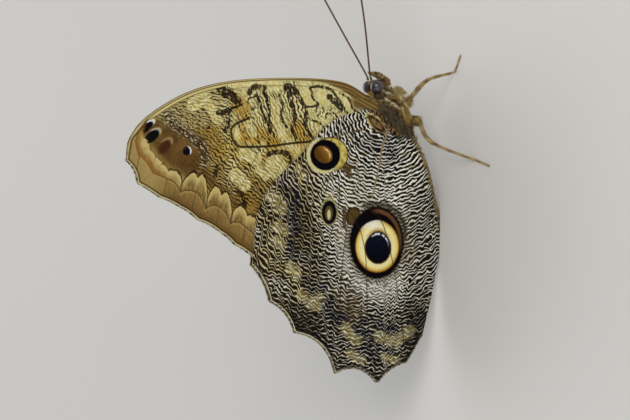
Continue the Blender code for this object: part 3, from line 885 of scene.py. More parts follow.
# Where the forewing's fine lines are at their strongest.
FORE_BUSY = [
    (3.4, [(3.0, 46.6), (-2.0, 45.8), (-5.0, 45.4)]),
    (3.0, [(5.0, 40.2), (0.0, 38.4), (-4.0, 37.4)]),
    (3.0, [(-2.0, 52.4), (-5.6, 50.0)]),
    (2.4, [(4.0, 56.8), (0.0, 57.4), (-4.0, 58.0)]),
    (6.5, [(-16.0, 56.0), (-14.0, 46.0), (-20.0, 44.0)]),
    (7.5, [(-4.0, 64.0), (-12.0, 60.0)]),
    (4.2, [(5.0, 60.0), (2.4, 66.0), (-1.0, 71.0)]),
]

# The strokes that the forewing's finish reads, by name.
FORE_MARKS = {"ink": FORE_INK, "cream": FORE_CREAM, "gold": FORE_GOLD, "brown": FORE_BROWN,
              "frosted": FORE_FROST, "freckled": FORE_FRECKLES}

# Which of the margin's cells a place falls in: a start, and the count for each millimetre of z and x.
FORE_CELL_COUNT = (8.15, -0.1218, -0.0276)
FORE_CELL = 8.0

# Near the tip: how far below the body's level, and how far in from the margin the two rows then reach.
FORE_TIP_STRIP = [2.5, 5.3, 8.3, 11.3, 14.0], [-0.6, 0.9, 2.1, 3.5, 4.0]
FORE_TIP_CROWN = [3.2, 4.2, 8.3, 9.8, 11.3, 14.0], [-0.6, 1.5, 5.2, 6.4, 6.9, 7.2]

# The hindwing's marks. Its fine lines run round a hub near the wing's base.
HIND_HUB = (1.2, 14.4)
HIND_CREAM = [
    (1.5, [(-19.4, 45.8), (-20.6, 44.0), (-22.4, 42.6)]),
    (1.3, [(-26.4, 44.4), (-27.4, 42.4)]),
    (1.2, [(-29.6, 44.6), (-30.6, 43.0)]),
    (1.4, [(-36.0, 40.6), (-37.8, 39.0)]),
    (1.1, [(-42.4, 38.0), (-44.2, 35.4), (-43.2, 33.0)]),
    (1.2, [(-44.6, 35.6), (-45.2, 33.4)]),
    (1.3, [(-50.2, 26.0), (-52.2, 24.4), (-53.6, 22.6)]),
    (1.2, [(-52.4, 17.0), (-53.4, 14.2), (-54.4, 11.6)]),
    (1.2, [(-54.0, 12.0), (-51.4, 8.0)]),
    (0.9, [(-56.6, 24.8), (-58.6, 21.0)]),
    (0.9, [(-57.6, 15.4), (-58.8, 11.6)]),
    (1.1, [(-12.9, 38.6), (-14.6, 37.4)]),
    (1.0, [(-19.6, 30.4), (-20.4, 29.6)]),
]
HIND_INK = [
    (1.2, [(-14.6, 43.2), (-17.6, 42.4), (-18.6, 41.2)]),
    (1.2, [(-18.4, 39.8), (-20.6, 39.0)]),
    (1.3, [(-22.6, 40.4), (-25.4, 39.2), (-27.4, 39.0)]),
    (1.3, [(-30.2, 40.6), (-33.4, 39.6)]),
    (1.3, [(-39.2, 36.6), (-41.2, 34.6), (-40.6, 31.6)]),
    (1.4, [(-44.8, 30.4), (-48.0, 28.8), (-48.4, 26.6)]),
    (1.2, [(-50.6, 22.4), (-52.4, 19.8), (-54.4, 18.2)]),
    (1.2, [(-50.4, 16.4), (-50.8, 12.6)]),
    (1.5, [(-55.4, 19.4), (-57.6, 17.4)]),
    (1.0, [(-47.6, 41.8), (-49.6, 39.8)]),
    (1.3, [(-53.0, 33.4), (-56.4, 30.6)]),
    (0.9, [(-49.0, 21.0), (-47.6, 17.0)]),
    (1.3, [(-5.6, 15.6), (-7.7, 14.4), (-10.4, 12.6)]),
    (0.9, [(-4.6, 20.2), (-5.6, 18.6), (-6.6, 17.4)]),
    (0.9, [(-6.4, 21.6), (-7.8, 19.6), (-8.2, 17.6)]),
    (0.9, [(-4.2, 24.2), (-6.0, 22.8)]),
    (0.7, [(-35.0, 50.1), (-36.6, 49.4)]),
]
HIND_BROWN = [
    (0.6, [(-22.2, 26.2), (-26.4, 26.2)]),
    (0.8, [(-11.2, 26.4), (-12.6, 25.0)]),
    (0.6, [(-12.8, 26.2), (-14.4, 24.6)]),
]
HIND_OLIVE = [
    (2.0, [(-12.6, 24.6), (-16.6, 22.0)]),
    (1.8, [(-19.4, 24.0), (-20.6, 20.0)]),
    (2.0, [(-26.0, 27.6), (-31.0, 26.6)]),
    (2.6, [(-42.0, 27.0), (-47.0, 23.0)]),
    (1.6, [(-24.0, 9.6), (-34.0, 8.6)]),
]
HIND_SHADE = [
    (1.3, [(3.0, 16.8), (0.9, 15.6), (-1.2, 14.6), (-3.6, 13.2)]),
    (1.0, [(-1.6, 12.9), (-4.4, 10.4)]),
    (0.8, [(-3.6, 14.6), (-5.0, 13.0)]),
    (0.5, [(-21.3, 20.6), (-21.1, 17.4), (-21.6, 14.6), (-22.8, 12.0), (-25.9, 10.0), (-29.2, 9.5)]),
]
HIND_OUTLINE = [
    (0.13, [(-5.2, 28.9), (-4.5, 26.5), (-3.7, 23.5), (-3.3, 20.6)]),
    (0.12, [(-5.2, 28.9), (-5.3, 31.0), (-6.4, 33.4)]),
    (0.12, [(-13.6, 29.8), (-18.4, 31.4)]),
]

# The strokes that the hindwing's finish reads, by name, and its greyed and darkened parts.
HIND_MARKS = {"ink": HIND_INK, "cream": HIND_CREAM, "brown": HIND_BROWN, "olive": HIND_OLIVE,
              "shade": HIND_SHADE, "outline": HIND_OUTLINE}
HIND_MIST = [(2.2, [(-39.6, 22.0), (-41.6, 17.5), (-40.0, 13.0)]), (1.2, [(-36.0, 25.6), (-28.0, 26.6)])]
HIND_DUSK = [(4.0, [(-24.0, 39.0), (-34.0, 34.0), (-44.0, 26.0)])]

# The middle line of the lens-shaped mark beside the hindwing's hairy base.
HIND_LENS = [(0.2, 20.2), (-0.9, 19.2), (-2.5, 17.8), (-4.1, 16.0)]
LENS_STEPS = 12


def keep_forewing_marks(thing, flat):
    x, z = flat.T
    lean = 25 + 25 * ramp(-x, 2.0, 12.0) + 15 * ramp(-z, -34.0, -26.0)
    near_tip = 55 + 32 * ramp(x, -6.0, 4.0)
    turn = np.radians(lean + (near_tip - lean) * ramp(z, 50.0, 60.0))
    keep(thing, turn=np.arctan2(np.cos(turn), -np.sin(turn)), along=x * np.cos(turn) + z * np.sin(turn),
         bold=0.44 - 0.06 * ramp(z, 55.0, 66.0) + 0.12 * ramp(-x, 8.0, 18.0),
         warm=ramp(-x, -2.0, 9.0) * 0.8,
         dusk=np.clip(0.95 * ramp(z, 55.0, 63.0) + 0.9 * ramp(-x, 8.0, 18.0), 0, 1),
         busy=0.32 + 0.68 * ramp(strokes(FORE_BUSY, flat), -2.4, 2.0),
         **{name: strokes(marks, flat) for name, marks in FORE_MARKS.items()})

    start, with_z, with_x = FORE_CELL_COUNT
    cell = start + with_z * (z + 1.8 * ramp(z, 56.0, 68.0)) + with_x * x
    share = cell - np.floor(cell)
    rim = distance_to([*FORE_COSTA[-3:-1], *scalloped_edge(FORE_TIPS, FORE_SAGS, 8)], flat)
    arch = np.sin(np.pi * share) ** 0.6
    tip = ramp(-cell, 0.1, 1.1)
    scallop_line = (2.6 + 2.1 * arch) * (1 - tip) + tip * np.interp(-x, *FORE_TIP_STRIP)
    peaks = np.abs(np.sin(2 * np.pi * share)) ** 0.8
    height = np.interp(cell, [-1.2, -0.2, 0.5, 1.5, 2.5], [0.35, 0.6, 1.15, 1.0, 0.8])
    crown_line = (4.8 + 2.7 * arch * height + 1.7 * peaks * height) * (1 - tip)
    crown_line = crown_line + tip * (np.interp(-x, *FORE_TIP_CROWN) + 0.7 * peaks - 0.4)
    keep(thing, rim=rim, scallop=rim - scallop_line, crown=crown_line - rim, tip=tip,
         reach=ramp(-x, 3.0, 5.5), cell_edge=np.minimum(share, 1 - share) * FORE_CELL,
         middle=np.abs(share - 0.5) * FORE_CELL,
         front=distance_to(smooth_path(FORE_COSTA, 60), flat), tan=ramp(-z, -46.0, -26.0),
         band=0.72 + 0.55 * ramp(z, 54.0, 62.0) - 0.9 * ramp(z, 73.0, 80.0) + 2.2 * ramp(-z, -34.0, -20.0),
         cell_vein=distance_to(smooth_path(FORE_CELL_VEIN, 60), flat))


def keep_hindwing_marks(thing, flat):
    x, z = flat.T
    hub = np.column_stack([np.full(len(flat), HIND_HUB[0]), HIND_HUB[1] + 4.5 * ramp(-z, -17.5, -9.0)])
    out = flat - hub
    far = np.hypot(*(flat - HIND_HUB).T)
    round_hub = np.arctan2(out[:, 1], -out[:, 0])
    keep(thing, turn=np.arctan2(out[:, 1], out[:, 0]), along=round_hub * np.maximum(far, 12.0),
         zigzag=0.32 + 0.3 * ramp(far, 18.0, 40.0),
         sway=1.1 * ramp(far, 34.0, 54.0) * np.abs(np.sin(round_hub * 13.0)))
    near, left, low = ramp(-far, -22.0, -12.0), ramp(z, 28.0, 38.0), ramp(-x, 40.0, 50.0)
    right = ramp(-z, -12.0, -7.0) * ramp(-x, 10.0, 22.0)
    mist = ramp(strokes(HIND_MIST, flat), -2.0, 1.8)
    middle = ramp(strokes(HIND_DUSK, flat), -4.0, 2.0)
    keep(thing, mist=mist * 0.75, hem=0.15 + 0.85 * ramp(z, 23.0, 33.0),
         dusk=np.clip(0.45 * left + 0.4 * low + 0.7 * right + 0.6 * middle, 0, 1) * (1 - 0.6 * mist),
         bold=0.54 + 0.12 * near + 0.18 * left + 0.28 * low + 0.13 * middle + 0.16 * right - 0.03 * mist,
         warm=np.clip(0.75 * left * (1 - 0.6 * low) + 0.15 * low, 0, 1),
         **{name: strokes(marks, flat) for name, marks in HIND_MARKS.items()})

    lens = smooth_path(HIND_LENS, LENS_STEPS)
    bulge = 0.35 + 0.85 * np.sin(np.pi * np.linspace(0.0, 1.0, LENS_STEPS))
    keep(thing, lens_side=ramp(z + 0.9 * x, 15.8, 17.6),
         hairy=ramp(x - z, -19.2, -18.4) * ramp(x, -5.0, -4.2),
         lens=np.max([width - np.hypot(*(flat - place).T) for place, width in zip(lens, bulge)], axis=0),
         pale_vein=distance_to(smooth_path(HIND_PALE_VEIN, 20), flat),
         rim=distance_to(scalloped_edge(HIND_TIPS, HIND_SAGS, 8), flat))


def make_wing(name, node, outline, depth, side, veins, keep_marks, finishes, slot):
    """A thin blade between the edges of its solid, with raised veins and its two faces' markings."""
    clear_selection()
    bpy.ops.mesh.primitive_grid_add(x_subdivisions=WING_ROWS, y_subdivisions=WING_COLUMNS, size=1.0)
    thing = named(bpy.context.object, name)
    grid = places_of(thing)
    flat = wing_places(outline, np.clip(grid[:, 0] + 0.5, 0, 1), np.clip(grid[:, 1] + 0.5, 0, 1))
    vein = np.min([distance_to(smooth_path(line, 14), flat) for line in veins], axis=0)
    swell = depth(*flat.T)
    for height, width in VEIN_RIDGE, VEIN_TROUGH:
        swell = swell + height * np.exp(-((vein / width) ** 2))
    set_places(thing, world(upright(flat[:, 0], side * swell, flat[:, 1])))
    outward = thing.data.polygons[len(thing.data.polygons) // 2].normal.y * side
    if outward < 0:
        only(thing)
        bpy.ops.object.mode_set(mode="EDIT")
        bpy.ops.mesh.select_all(action="SELECT")
        bpy.ops.mesh.flip_normals()
        bpy.ops.object.mode_set(mode="OBJECT")
    keep_marks(thing, flat)
    keep(thing, vein=vein)
    for finish in finishes:
        thing.data.materials.append(finish)
    modify(thing, "SOLIDIFY", thickness=BLADE_THICKNESS * MM, offset=0.0, material_offset=1,
           material_offset_rim=2)
    apply_modifiers(thing)
    places = places_of(thing)
    places[:, 2] = np.maximum(places[:, 2], 0.0)
    set_places(thing, places)
    shade(thing, 50)
    present(thing, slot, node)


def make_wings():
    fore = wing_outline(FORE_ROOT, FORE_COSTA, FORE_TIPS, FORE_SAGS, FORE_HIND_EDGE)
    hind = wing_outline(HIND_ROOT, HIND_COSTA, HIND_TIPS, HIND_SAGS, HIND_INNER)
    upper, fringe = upper_finish(), fringe_finish()
    fore_faces, hind_faces = (forewing_finish(), upper, fringe), (hindwing_finish(), upper, fringe)
    for word, side in SIDES:
        make_wing(f"{word}_forewing", f"forewing_{word}", fore, forewing_depth, side,
                  [*FORE_VEINS, FORE_CELL_VEIN], keep_forewing_marks, fore_faces, "forewing")
        make_wing(f"{word}_hindwing", f"hindwing_{word}", hind, hindwing_depth, side,
                  [*HIND_VEINS, HIND_PALE_VEIN], keep_hindwing_marks, hind_faces, "hindwing")


# Shapes


def ripple(places, size, seed):
    """A smooth uneven field over places, mostly from -1 to 1, whose waves are about a size long."""
    rng = np.random.default_rng(seed)
    total = np.zeros(len(places))
    for _ in range(6):
        way = rng.normal(size=3)
        way *= math.tau / size * rng.uniform(0.6, 1.4) / np.linalg.norm(way)
        total += np.sin(places @ way + rng.uniform(0, math.tau))
    return total / 3


def toned(colours, tone):
    """Colours made lighter or darker, with their fourth value left as it is."""
    return colours * np.column_stack([tone, tone, tone, np.ones(len(tone))])


def new_piece(name, places, faces, finish=None):
    """A piece made from rows of places and rows of faces."""
    mesh = bpy.data.meshes.new(name)
    mesh.from_pydata(world(places).tolist(), [], [list(face) for face in faces])
    mesh.validate()
    mesh.materials.append(finish)
    return placed(name, mesh)


def ball_piece(name, centre, half, segments, rings):
    """A ball with its own half sizes, pitched like the body."""
    clear_selection()
    bpy.ops.mesh.primitive_uv_sphere_add(segments=segments, ring_count=rings, radius=1.0,
                                         location=world([centre])[0], rotation=(0.0, -BODY_PITCH, 0.0))
    thing = bpy.context.object
    thing.scale = np.array(half) * MM
    settle(thing)
    return named(thing, name)


def frames_along(path):
    """The direction of a path at each of its points, with two sides at right angles that don't twist."""
    ways = unit(np.gradient(path, axis=0))
    side = np.cross(ways[0], (0.0, 0.0, 1.0) if abs(ways[0][2]) < 0.9 else (1.0, 0.0, 0.0))
    sides = []
    for way in ways:
        side = side - way * (side @ way)
        side = side / np.linalg.norm(side)
        sides.append(side)
    return ways, np.array(sides), np.cross(ways, sides)


def tube_shape(path, radii, count):
    """The places and faces of a closed tube round a path."""
    path, radii = np.asarray(path, float), np.asarray(radii, float)
    ways, sides, ups = frames_along(path)
    turns = (np.arange(count) * math.tau / count)[None, :, None]
    spokes = np.cos(turns) * sides[:, None] + np.sin(turns) * ups[:, None]
    rings = (path[:, None] + radii[:, None, None] * spokes).reshape(-1, 3)
    ends = path[0] - ways[0] * radii[0] * 0.5, path[-1] + ways[-1] * radii[-1] * 0.5
    last = len(rings) - count
    following = [(k + 1) % count for k in range(count)]
    faces = []
    for ring in range(0, last, count):
        for k, after in enumerate(following):
            faces.append((ring + k, ring + after, ring + after + count, ring + k + count))
    for k, after in enumerate(following):
        faces.append((last + count, after, k))
        faces.append((last + count + 1, last + k, last + after))
    return np.vstack([rings, *ends]), faces


def limb_shape(points, steps, count):
    """A closed tube along a smooth line through (x, y, z, radius)."""
    path = smooth_path(points, steps)
    return tube_shape(path[:, :3], path[:, 3], count)


def merged(shapes):
    """Several shapes' places and faces as one."""
    places, faces, start = [], [], 0
    for some_places, some_faces in shapes:
        places.append(some_places)
        faces += [tuple(start + corner for corner in face) for face in some_faces]
        start += len(some_places)
    return np.vstack(places), faces


# Tufts

# Each tuft's seven points: how bright they are, the faces over them, and its patch on the unwrap.
TUFT_SHADES = np.array([0.72, 0.72, 0.72, 1.0, 1.0, 1.0, 1.15])
TUFT_FACES = [(0, 2, 1), (0, 1, 4), (0, 4, 3), (1, 2, 5), (1, 5, 4), (2, 0, 3), (2, 3, 5), (3, 4, 6),
              (4, 5, 6), (5, 3, 6)]
TUFT_CHART = [(0, 0), (0, 0.5), (0, 1), (0.5, 0), (0.5, 0.5), (0.5, 1), (1, 0.5)]
PATCH = 0.003
TUFT_SINK = 0.04
TUFT_FLOOR = 0.02


def scatter(thing, count, seed, wanted):
    """Seeded places spread evenly over the wanted part of a mesh, with the outward direction at each."""
    mesh = thing.data
    mesh.calc_loop_triangles()
    corners = np.empty(len(mesh.loop_triangles) * 3, int)
    mesh.loop_triangles.foreach_get("vertices", corners)
    points = own_places(thing)[corners].reshape(-1, 3, 3)
    cross = np.cross(points[:, 1] - points[:, 0], points[:, 2] - points[:, 0])
    area = np.linalg.norm(cross, axis=1) * wanted(points.mean(axis=1))
    rng = np.random.default_rng(seed)
    chosen = rng.choice(len(area), count, p=area / area.sum())
    one, two = rng.random(count), rng.random(count)
    flip = one + two > 1
    one[flip], two[flip] = 1 - one[flip], 1 - two[flip]
    start, first, second = points[chosen].transpose(1, 0, 2)
    places = start + one[:, None] * (first - start) + two[:, None] * (second - start)
    return places, unit(cross[chosen])


def make_tufts(name, roots, normals, ways, lengths, widths, lifts, colours, chart, finish, slot="coat"):
    """Thin bent tufts, one at each root: three sided, wide at the root and fine at the tip."""
    ways = unit(ways - normals * np.sum(ways * normals, axis=1, keepdims=True))
    sides = np.cross(normals, ways)
    lengths, widths, lifts = (np.asarray(value, float)[:, None] for value in (lengths, widths, lifts))
    rows = []
    for share, thickness in ((0.0, 1.0), (0.5, 0.8)):
        rise = np.sin(lifts) * share * (1.35 - 0.35 * share) - TUFT_SINK * (1 - share)
        middle = roots + ways * lengths * share * np.cos(lifts)
        middle = middle + normals * lengths * rise
        for across, out in ((-0.5, 0.0), (0.5, 0.0), (0.0, 0.4)):
            rows.append(middle + (sides * across + normals * out) * widths * thickness)
    rows.append(roots + ways * lengths * np.cos(lifts) + normals * lengths * np.sin(lifts))
    places = np.stack(rows, axis=1).reshape(-1, 3)
    places[:, 2] = np.maximum(places[:, 2], TUFT_FLOOR)
    faces = (np.arange(len(roots))[:, None, None] * 7 + np.array(TUFT_FACES)).reshape(-1, 3)
    mesh = bpy.data.meshes.new(name)
    mesh.vertices.add(len(places))
    mesh.vertices.foreach_set("co", world(places).astype(np.float32).ravel())
    mesh.loops.add(faces.size)
    mesh.loops.foreach_set("vertex_index", faces.astype(np.int32).ravel())
    mesh.polygons.add(len(faces))
    mesh.polygons.foreach_set("loop_start", np.arange(0, faces.size, 3, dtype=np.int32))
    mesh.update(calc_edges=True)
    mesh.materials.append(finish)
    thing = placed(name, mesh)
    keep_colour(thing, toned(colours[:, None], TUFT_SHADES).reshape(-1, 4))
    laid = np.clip(chart, 0, 0.995)[:, None] + PATCH * np.array(TUFT_CHART)
    keep_chart(mesh, laid.reshape(-1, 2)[faces.ravel()])
    return present(thing, slot)


# Body

# The markings on the sides of the head and thorax: half widths and lines through (x, z).
BODY_DARK = [
    (1.3, [(5.0, 17.4), (3.0, 16.6), (1.0, 16.2), (-2.0, 15.2)]),
    (0.95, [(0.7, 14.9), (1.6, 14.6)]),
    (0.75, [(0.3, 12.4), (0.9, 12.2)]),
    (0.7, [(2.2, 13.7), (3.2, 13.9)]),
    (1.2, [(-2.2, 14.4), (-3.6, 13.0)]),
    (0.5, [(4.2, 15.4), (3.2, 12.6)]),
    (0.7, [(-3.0, 11.0), (-2.2, 9.8)]),
]
BODY_GOLD = [
    (0.9, [(-0.6, 11.4), (-1.2, 10.8)]),
    (0.4, [(5.2, 13.9), (3.0, 11.9), (1.2, 10.9)]),
    (0.35, [(3.6, 15.6), (1.2, 13.6), (-0.8, 12.8)]),
]
BODY_PALE = [
    (0.24, [(6.5, 17.0), (5.5, 14.9)]),
    (0.2, [(5.2, 17.0), (4.1, 15.2)]),
    (0.26, [(5.5, 13.3), (4.1, 11.5), (1.9, 9.9), (0.2, 9.4)]),
    (0.16, [(3.4, 14.6), (2.0, 13.2)]),
    (0.14, [(2.6, 12.4), (1.0, 11.9)]),
]
PALE_HAIRS_PER_MM = 46

# The links of the skin between its solids, as (x, y, z, radius) on the left side.
PALP_ROOT = (7.0, 0.6, 16.2, 0.9)
HIPS = [[(2.4, 1.5, 10.9, 1.1), (4.0, 2.2, 9.3, 0.6)], [(-0.9, 1.5, 8.9, 1.1), (-1.0, 2.4, 6.8, 0.6)],
        [(3.6, 1.1, 12.4, 0.9), (4.9, 1.7, 11.2, 0.42)]]
WING_HINGE = [(0.2, 2.2, 13.6, 1.5), (0.3, 4.2, 14.1, 0.7)]
SKIN_VOXEL = 0.13

# The coat in three stretches: name, seed, count, from and to which x, length, width, lift in
# degrees, and how much the tufts swirl.
NECK_X, WAIST_X = 5.0, -6.2
PALPS_FROM_X = 8.0
BODY_TRACTS = [
    ("head_coat", 11, 11500, NECK_X, math.inf, 0.95, 0.08, 34, 0.5),
    ("thorax_coat", 12, 16000, WAIST_X, NECK_X, 1.45, 0.12, 21, 0.3),
    ("abdomen_coat", 13, 14500, -math.inf, WAIST_X, 0.75, 0.13, 20, 0.25),
]


def towards_back(places):
    """How far places lie from the thorax's own axis towards its back."""
    x, z = places[:, 0] - THORAX[0], places[:, 2] - THORAX[1]
    return z * math.cos(BODY_PITCH) - x * math.sin(BODY_PITCH)


def eye_distance(places):
    """How far places are from the middle of the eye on their own side."""
    x, y, z = places.T
    return np.linalg.norm(upright(x, np.abs(y), z) - EYE, axis=1)


def body_colour(places):
    """The coat's colour at places on the body: golden brown, streaked with black and pale gold."""
    x, y, z = places.T
    cream = paint(226, 212, 164)
    colour = blend(0.5 + 0.5 * ripple(places, 2.6, 3), paint(196, 164, 88), paint(126, 102, 54))
    colour = blend(ramp(ripple(places, 1.9, 5), 0.0, 0.35) * 0.9, colour, paint(20, 17, 17))
    colour = blend(ramp(-towards_back(places), 0.6, 3.0) * 0.4, colour, paint(168, 140, 84))
    side_on = ramp(np.abs(y), 0.7, 1.5)
    for marks, soft, strength, tint in (
            (BODY_DARK, 0.35, 0.9, (18, 18, 26)), (BODY_GOLD, 0.3, 0.8, (188, 142, 48)),
            (BODY_PALE, 0.08, 0.9, (226, 208, 140))):
        rough = strokes(marks, places[:, [0, 2]]) + 0.5 * soft * ripple(places, 0.8, 15)
        colour = blend(ramp(rough, -soft, soft) * side_on * strength, colour, paint(*tint))
    belly = ramp(np.interp(x, *np.array(ABDOMEN_LINE[::-1]).T) - z, -0.6, 0.8)
    rings = ramp(np.sin(x * math.tau / ABDOMEN_RING), 0.5, 0.95)
    back = blend(0.35 * rings, paint(88, 64, 38), paint(52, 38, 26))
    below = blend(0.3 * rings, paint(176, 156, 112), paint(128, 104, 66))
    colour = blend(ramp(-x, 5.5, 8.0), colour, blend(belly, back, below))
    cheek = ramp(-np.abs(eye_distance(places) - EYE_RADIUS - 0.2), -0.32, -0.1)
    colour = blend(cheek * ramp(x - z, -11.6, -10.2) * 0.3, colour, cream)
    palp = blend(ramp(ripple(places, 0.9, 8), -0.4, 0.3), cream, paint(160, 118, 48))
    return blend(ramp(x, 8.2, 9.0) * ramp(-z, -18.4, -16.8) * 0.55, colour, palp)


def body_chart(places):
    """Where places lie on the body's own unwrap: how far along it, and how far round it."""
    x, y, z = places.T
    hump = np.interp(x, [-28.0, -7.0, -0.5, 6.6, 10.5], [6.1, 8.1, 12.0, 17.5, 18.2])
    lower = ramp(x - 7.6 + (z - 17.0) * 0.2, 0.0, 1.4) * ramp(17.4 - z, 0.0, 1.0)
    return np.column_stack([(x + 29.0 + 2.0 * lower) / 43.0, np.arctan2(y, z - hump) / math.tau + 0.5])


def lay_flat(thing):
    """Gives the skin the unwrap of the body's own shape for its baked colours."""
    corners = np.empty(len(thing.data.loops), int)
    thing.data.loops.foreach_get("vertex_index", corners)
    starts = np.repeat([face.loop_start for face in thing.data.polygons],
                       [face.loop_total for face in thing.data.polygons])
    laid = body_chart(own_places(thing))[corners]
    laid[:, 1] -= np.round(laid[:, 1] - laid[starts, 1])
    laid[:, 1] = np.clip(laid[:, 1], 0.0, 1.0)
    keep_chart(thing.data, laid)


def hairy_finish(name, roughness, grain, tints, bump=(), **settings):
    """A finish in the colours stored with the mesh, lighter and darker in soft patches.

    Grain and bump begin with the scale and detail of their noise. The bump's strength and depth follow.
    """
    board = Material(name, roughness, **settings)
    place = board.place()
    tint = place.noise(*grain).rise(0.2, 0.8, *tints)
    height = place.noise(*bump[:2]) if bump else None
    return board.wear(board.kept("marking", "Color"), tint, height, *bump[2:])


def coat_finish():
    """Hair-like scales, for every tuft on the body, legs and wings."""
    return hairy_finish("body_coat", 0.55, (4.0, 2.0), (0.8, 1.2), sheen_weight=0.1, specular_ior_level=0.3)


def make_skin():
    """The whole trunk in one skin, inside its solids by the depth of the coat."""
    parts = []
    for name, (x, z), half, coat, segments, rings in (
            ("thorax_core", THORAX, THORAX_HALF, THORAX_COAT, 48, 32),
            ("head_core", HEAD, HEAD_HALF, HEAD_COAT, 40, 28)):
        along, through, across = np.subtract(half, coat)
        parts.append(ball_piece(name, (x, 0.0, z), (along, across, through), segments, rings))
    line = [(x, 0.0, z, radius - ABDOMEN_COAT) for (x, z), radius in zip(ABDOMEN_LINE, ABDOMEN_RADII)]
    line = smooth_path(line, 120)
    rings = 1 + 0.035 * np.cos(line[:, 0] * math.tau / ABDOMEN_RING)
    shapes = [tube_shape(line[:, :3], np.maximum(line[:, 3] * rings, 0.08), 40)]
    neck = [(*body_line(4.6), 1.5), (*body_line(6.4), 1.0), (HEAD[0] - 0.9, HEAD[1] - 0.8, 1.1)]
    waist = [(*body_line(-4.4), 1.7), (*body_line(-6.0), 1.25), (-8.2, 7.7, 1.6)]
    face = [(HEAD[0] + 0.4, HEAD[1] - 0.6, 1.45), (7.7, 15.9, 1.0), (7.4, 15.0, 0.6)]
    throat = [(*body_line(4.9), 1.5), (6.3, 15.4, 1.2), (7.0, 15.9, 0.9)]
    for link in (neck, waist, face, throat):
        shapes.append(limb_shape(np.insert(link, 1, 0.0, axis=1), 12, 24))
    palp = [PALP_ROOT, *np.array(PALP) - (0.0, 0.0, 0.0, PALP_COAT)]
    for side in (-1, 1):
        for bone in (palp, *HIPS, WING_HINGE):
            shapes.append(limb_shape(np.array(bone) * (1, side, 1, 1), 16, 20))
    parts += [new_piece("core", places, faces) for places, faces in shapes]
    skin = joined(parts, "body_skin")
    modify(skin, "REMESH", mode="VOXEL", voxel_size=SKIN_VOXEL * MM)
    modify(skin, "SMOOTH", factor=0.5, iterations=4)
    apply_modifiers(skin)
    skin.data.materials.clear()
    skin.data.materials.append(hairy_finish("body_skin", 0.75, (5.0, 3.0), (0.45, 0.95),
                                            (7.0, 3.0, 0.6, 0.08), sheen_weight=0.2))
    keep_colour(skin, body_colour(own_places(skin)))
    only(skin)
    bpy.ops.object.shade_smooth()
    lay_flat(skin)
    return present(skin, "coat", "thorax", "head", "abdomen", "palp_left", "palp_right")


def make_body_coat(skin):
    """Golden scale-hairs over the whole trunk, laid back along it."""
    finish = coat_finish()
    for name, seed, count, start, stop, length, width, lift, spread in BODY_TRACTS:
        def within(places):
            x = places[:, 0]
            clear = eye_distance(places) > EYE_RADIUS + 0.03
            denser = 1.0 + 1.5 * (x > PALPS_FROM_X)
            return (x > start) * (x <= stop) * clear * denser

        on_head = name == "head_coat"
        roots, normals = scatter(skin, count, seed, within)
        rng = np.random.default_rng(seed + 50)
        rear = ramp(-roots[:, 0], 4.0, 9.0)[:, None]
        back = np.tile((-math.cos(BODY_PITCH), 0.0, -math.sin(BODY_PITCH)), (count, 1))
        back = back * (1 - rear) + np.array((-1.0, 0.0, -0.05)) * rear
        palp = ramp(roots[:, 0], 7.9, 8.5)[:, None] * ramp(18.8 - roots[:, 2], 0.0, 0.6)[:, None] * on_head
        back = back * (1 - palp) + np.array((0.35, 0.0, 1.0)) * palp
        swirl = np.column_stack([ripple(roots, 1.4, seed + turn) for turn in range(3)])
        ways = back + swirl * spread + rng.normal(size=(count, 3)) * 0.18
        lengths = length * rng.uniform(0.65, 1.15, count) * (1 + 0.2 * ripple(roots, 2.2, seed + 7))
        lifts = np.radians(lift) * rng.uniform(0.5, 1.35, count)
        if on_head:
            lengths *= 1 - 0.45 * palp[:, 0]
            lengths *= 1 - 0.5 * ramp(-eye_distance(roots), -EYE_RADIUS - 0.5, -EYE_RADIUS - 0.05)
        if name == "abdomen_coat":
            lengths *= 1 + 0.5 * ramp(roots[:, 0], -9.0, -6.5)
        tone = np.clip(np.exp(rng.normal(0, 0.45, count) + 0.35 * ripple(roots, 0.7, seed + 9)), 0.15, 1.8)
        make_tufts(name, roots, normals, ways, lengths, width * rng.uniform(0.7, 1.2, count), lifts,
                   toned(body_colour(roots), tone), body_chart(roots), finish)
    make_pale_hair(skin, finish)


def make_pale_hair(skin, finish):
    """Long pale hairs laid in lines along the sides of the head and thorax."""
    rng = np.random.default_rng(64)
    batches = []
    for half_width, line in BODY_PALE:
        for start, stop in zip(line, line[1:]):
            def on_line(places):
                close = distance_to([start, stop], places[:, [0, 2]]) < half_width
                return close * (np.abs(places[:, 1]) > 0.9)

            chord = np.subtract(stop, start)
            count = int(PALE_HAIRS_PER_MM * np.hypot(*chord))
            roots, normals = scatter(skin, count, 15 + len(batches), on_line)
            ways = np.tile((chord[0], 0.0, chord[1]), (count, 1)) / np.hypot(*chord)
            batches.append((roots, normals, ways + rng.normal(size=(count, 3)) * 0.12))
    roots, normals, ways = (np.vstack(columns) for columns in zip(*batches))
    count = len(roots)
    colours = blend(rng.random(count) ** 1.5, paint(250, 240, 196), paint(206, 180, 104))
    make_tufts("pale_hair", roots, normals, ways, rng.uniform(1.2, 2.1, count), np.full(count, 0.11),
               np.radians(rng.uniform(16, 25, count)), colours, body_chart(roots), finish)


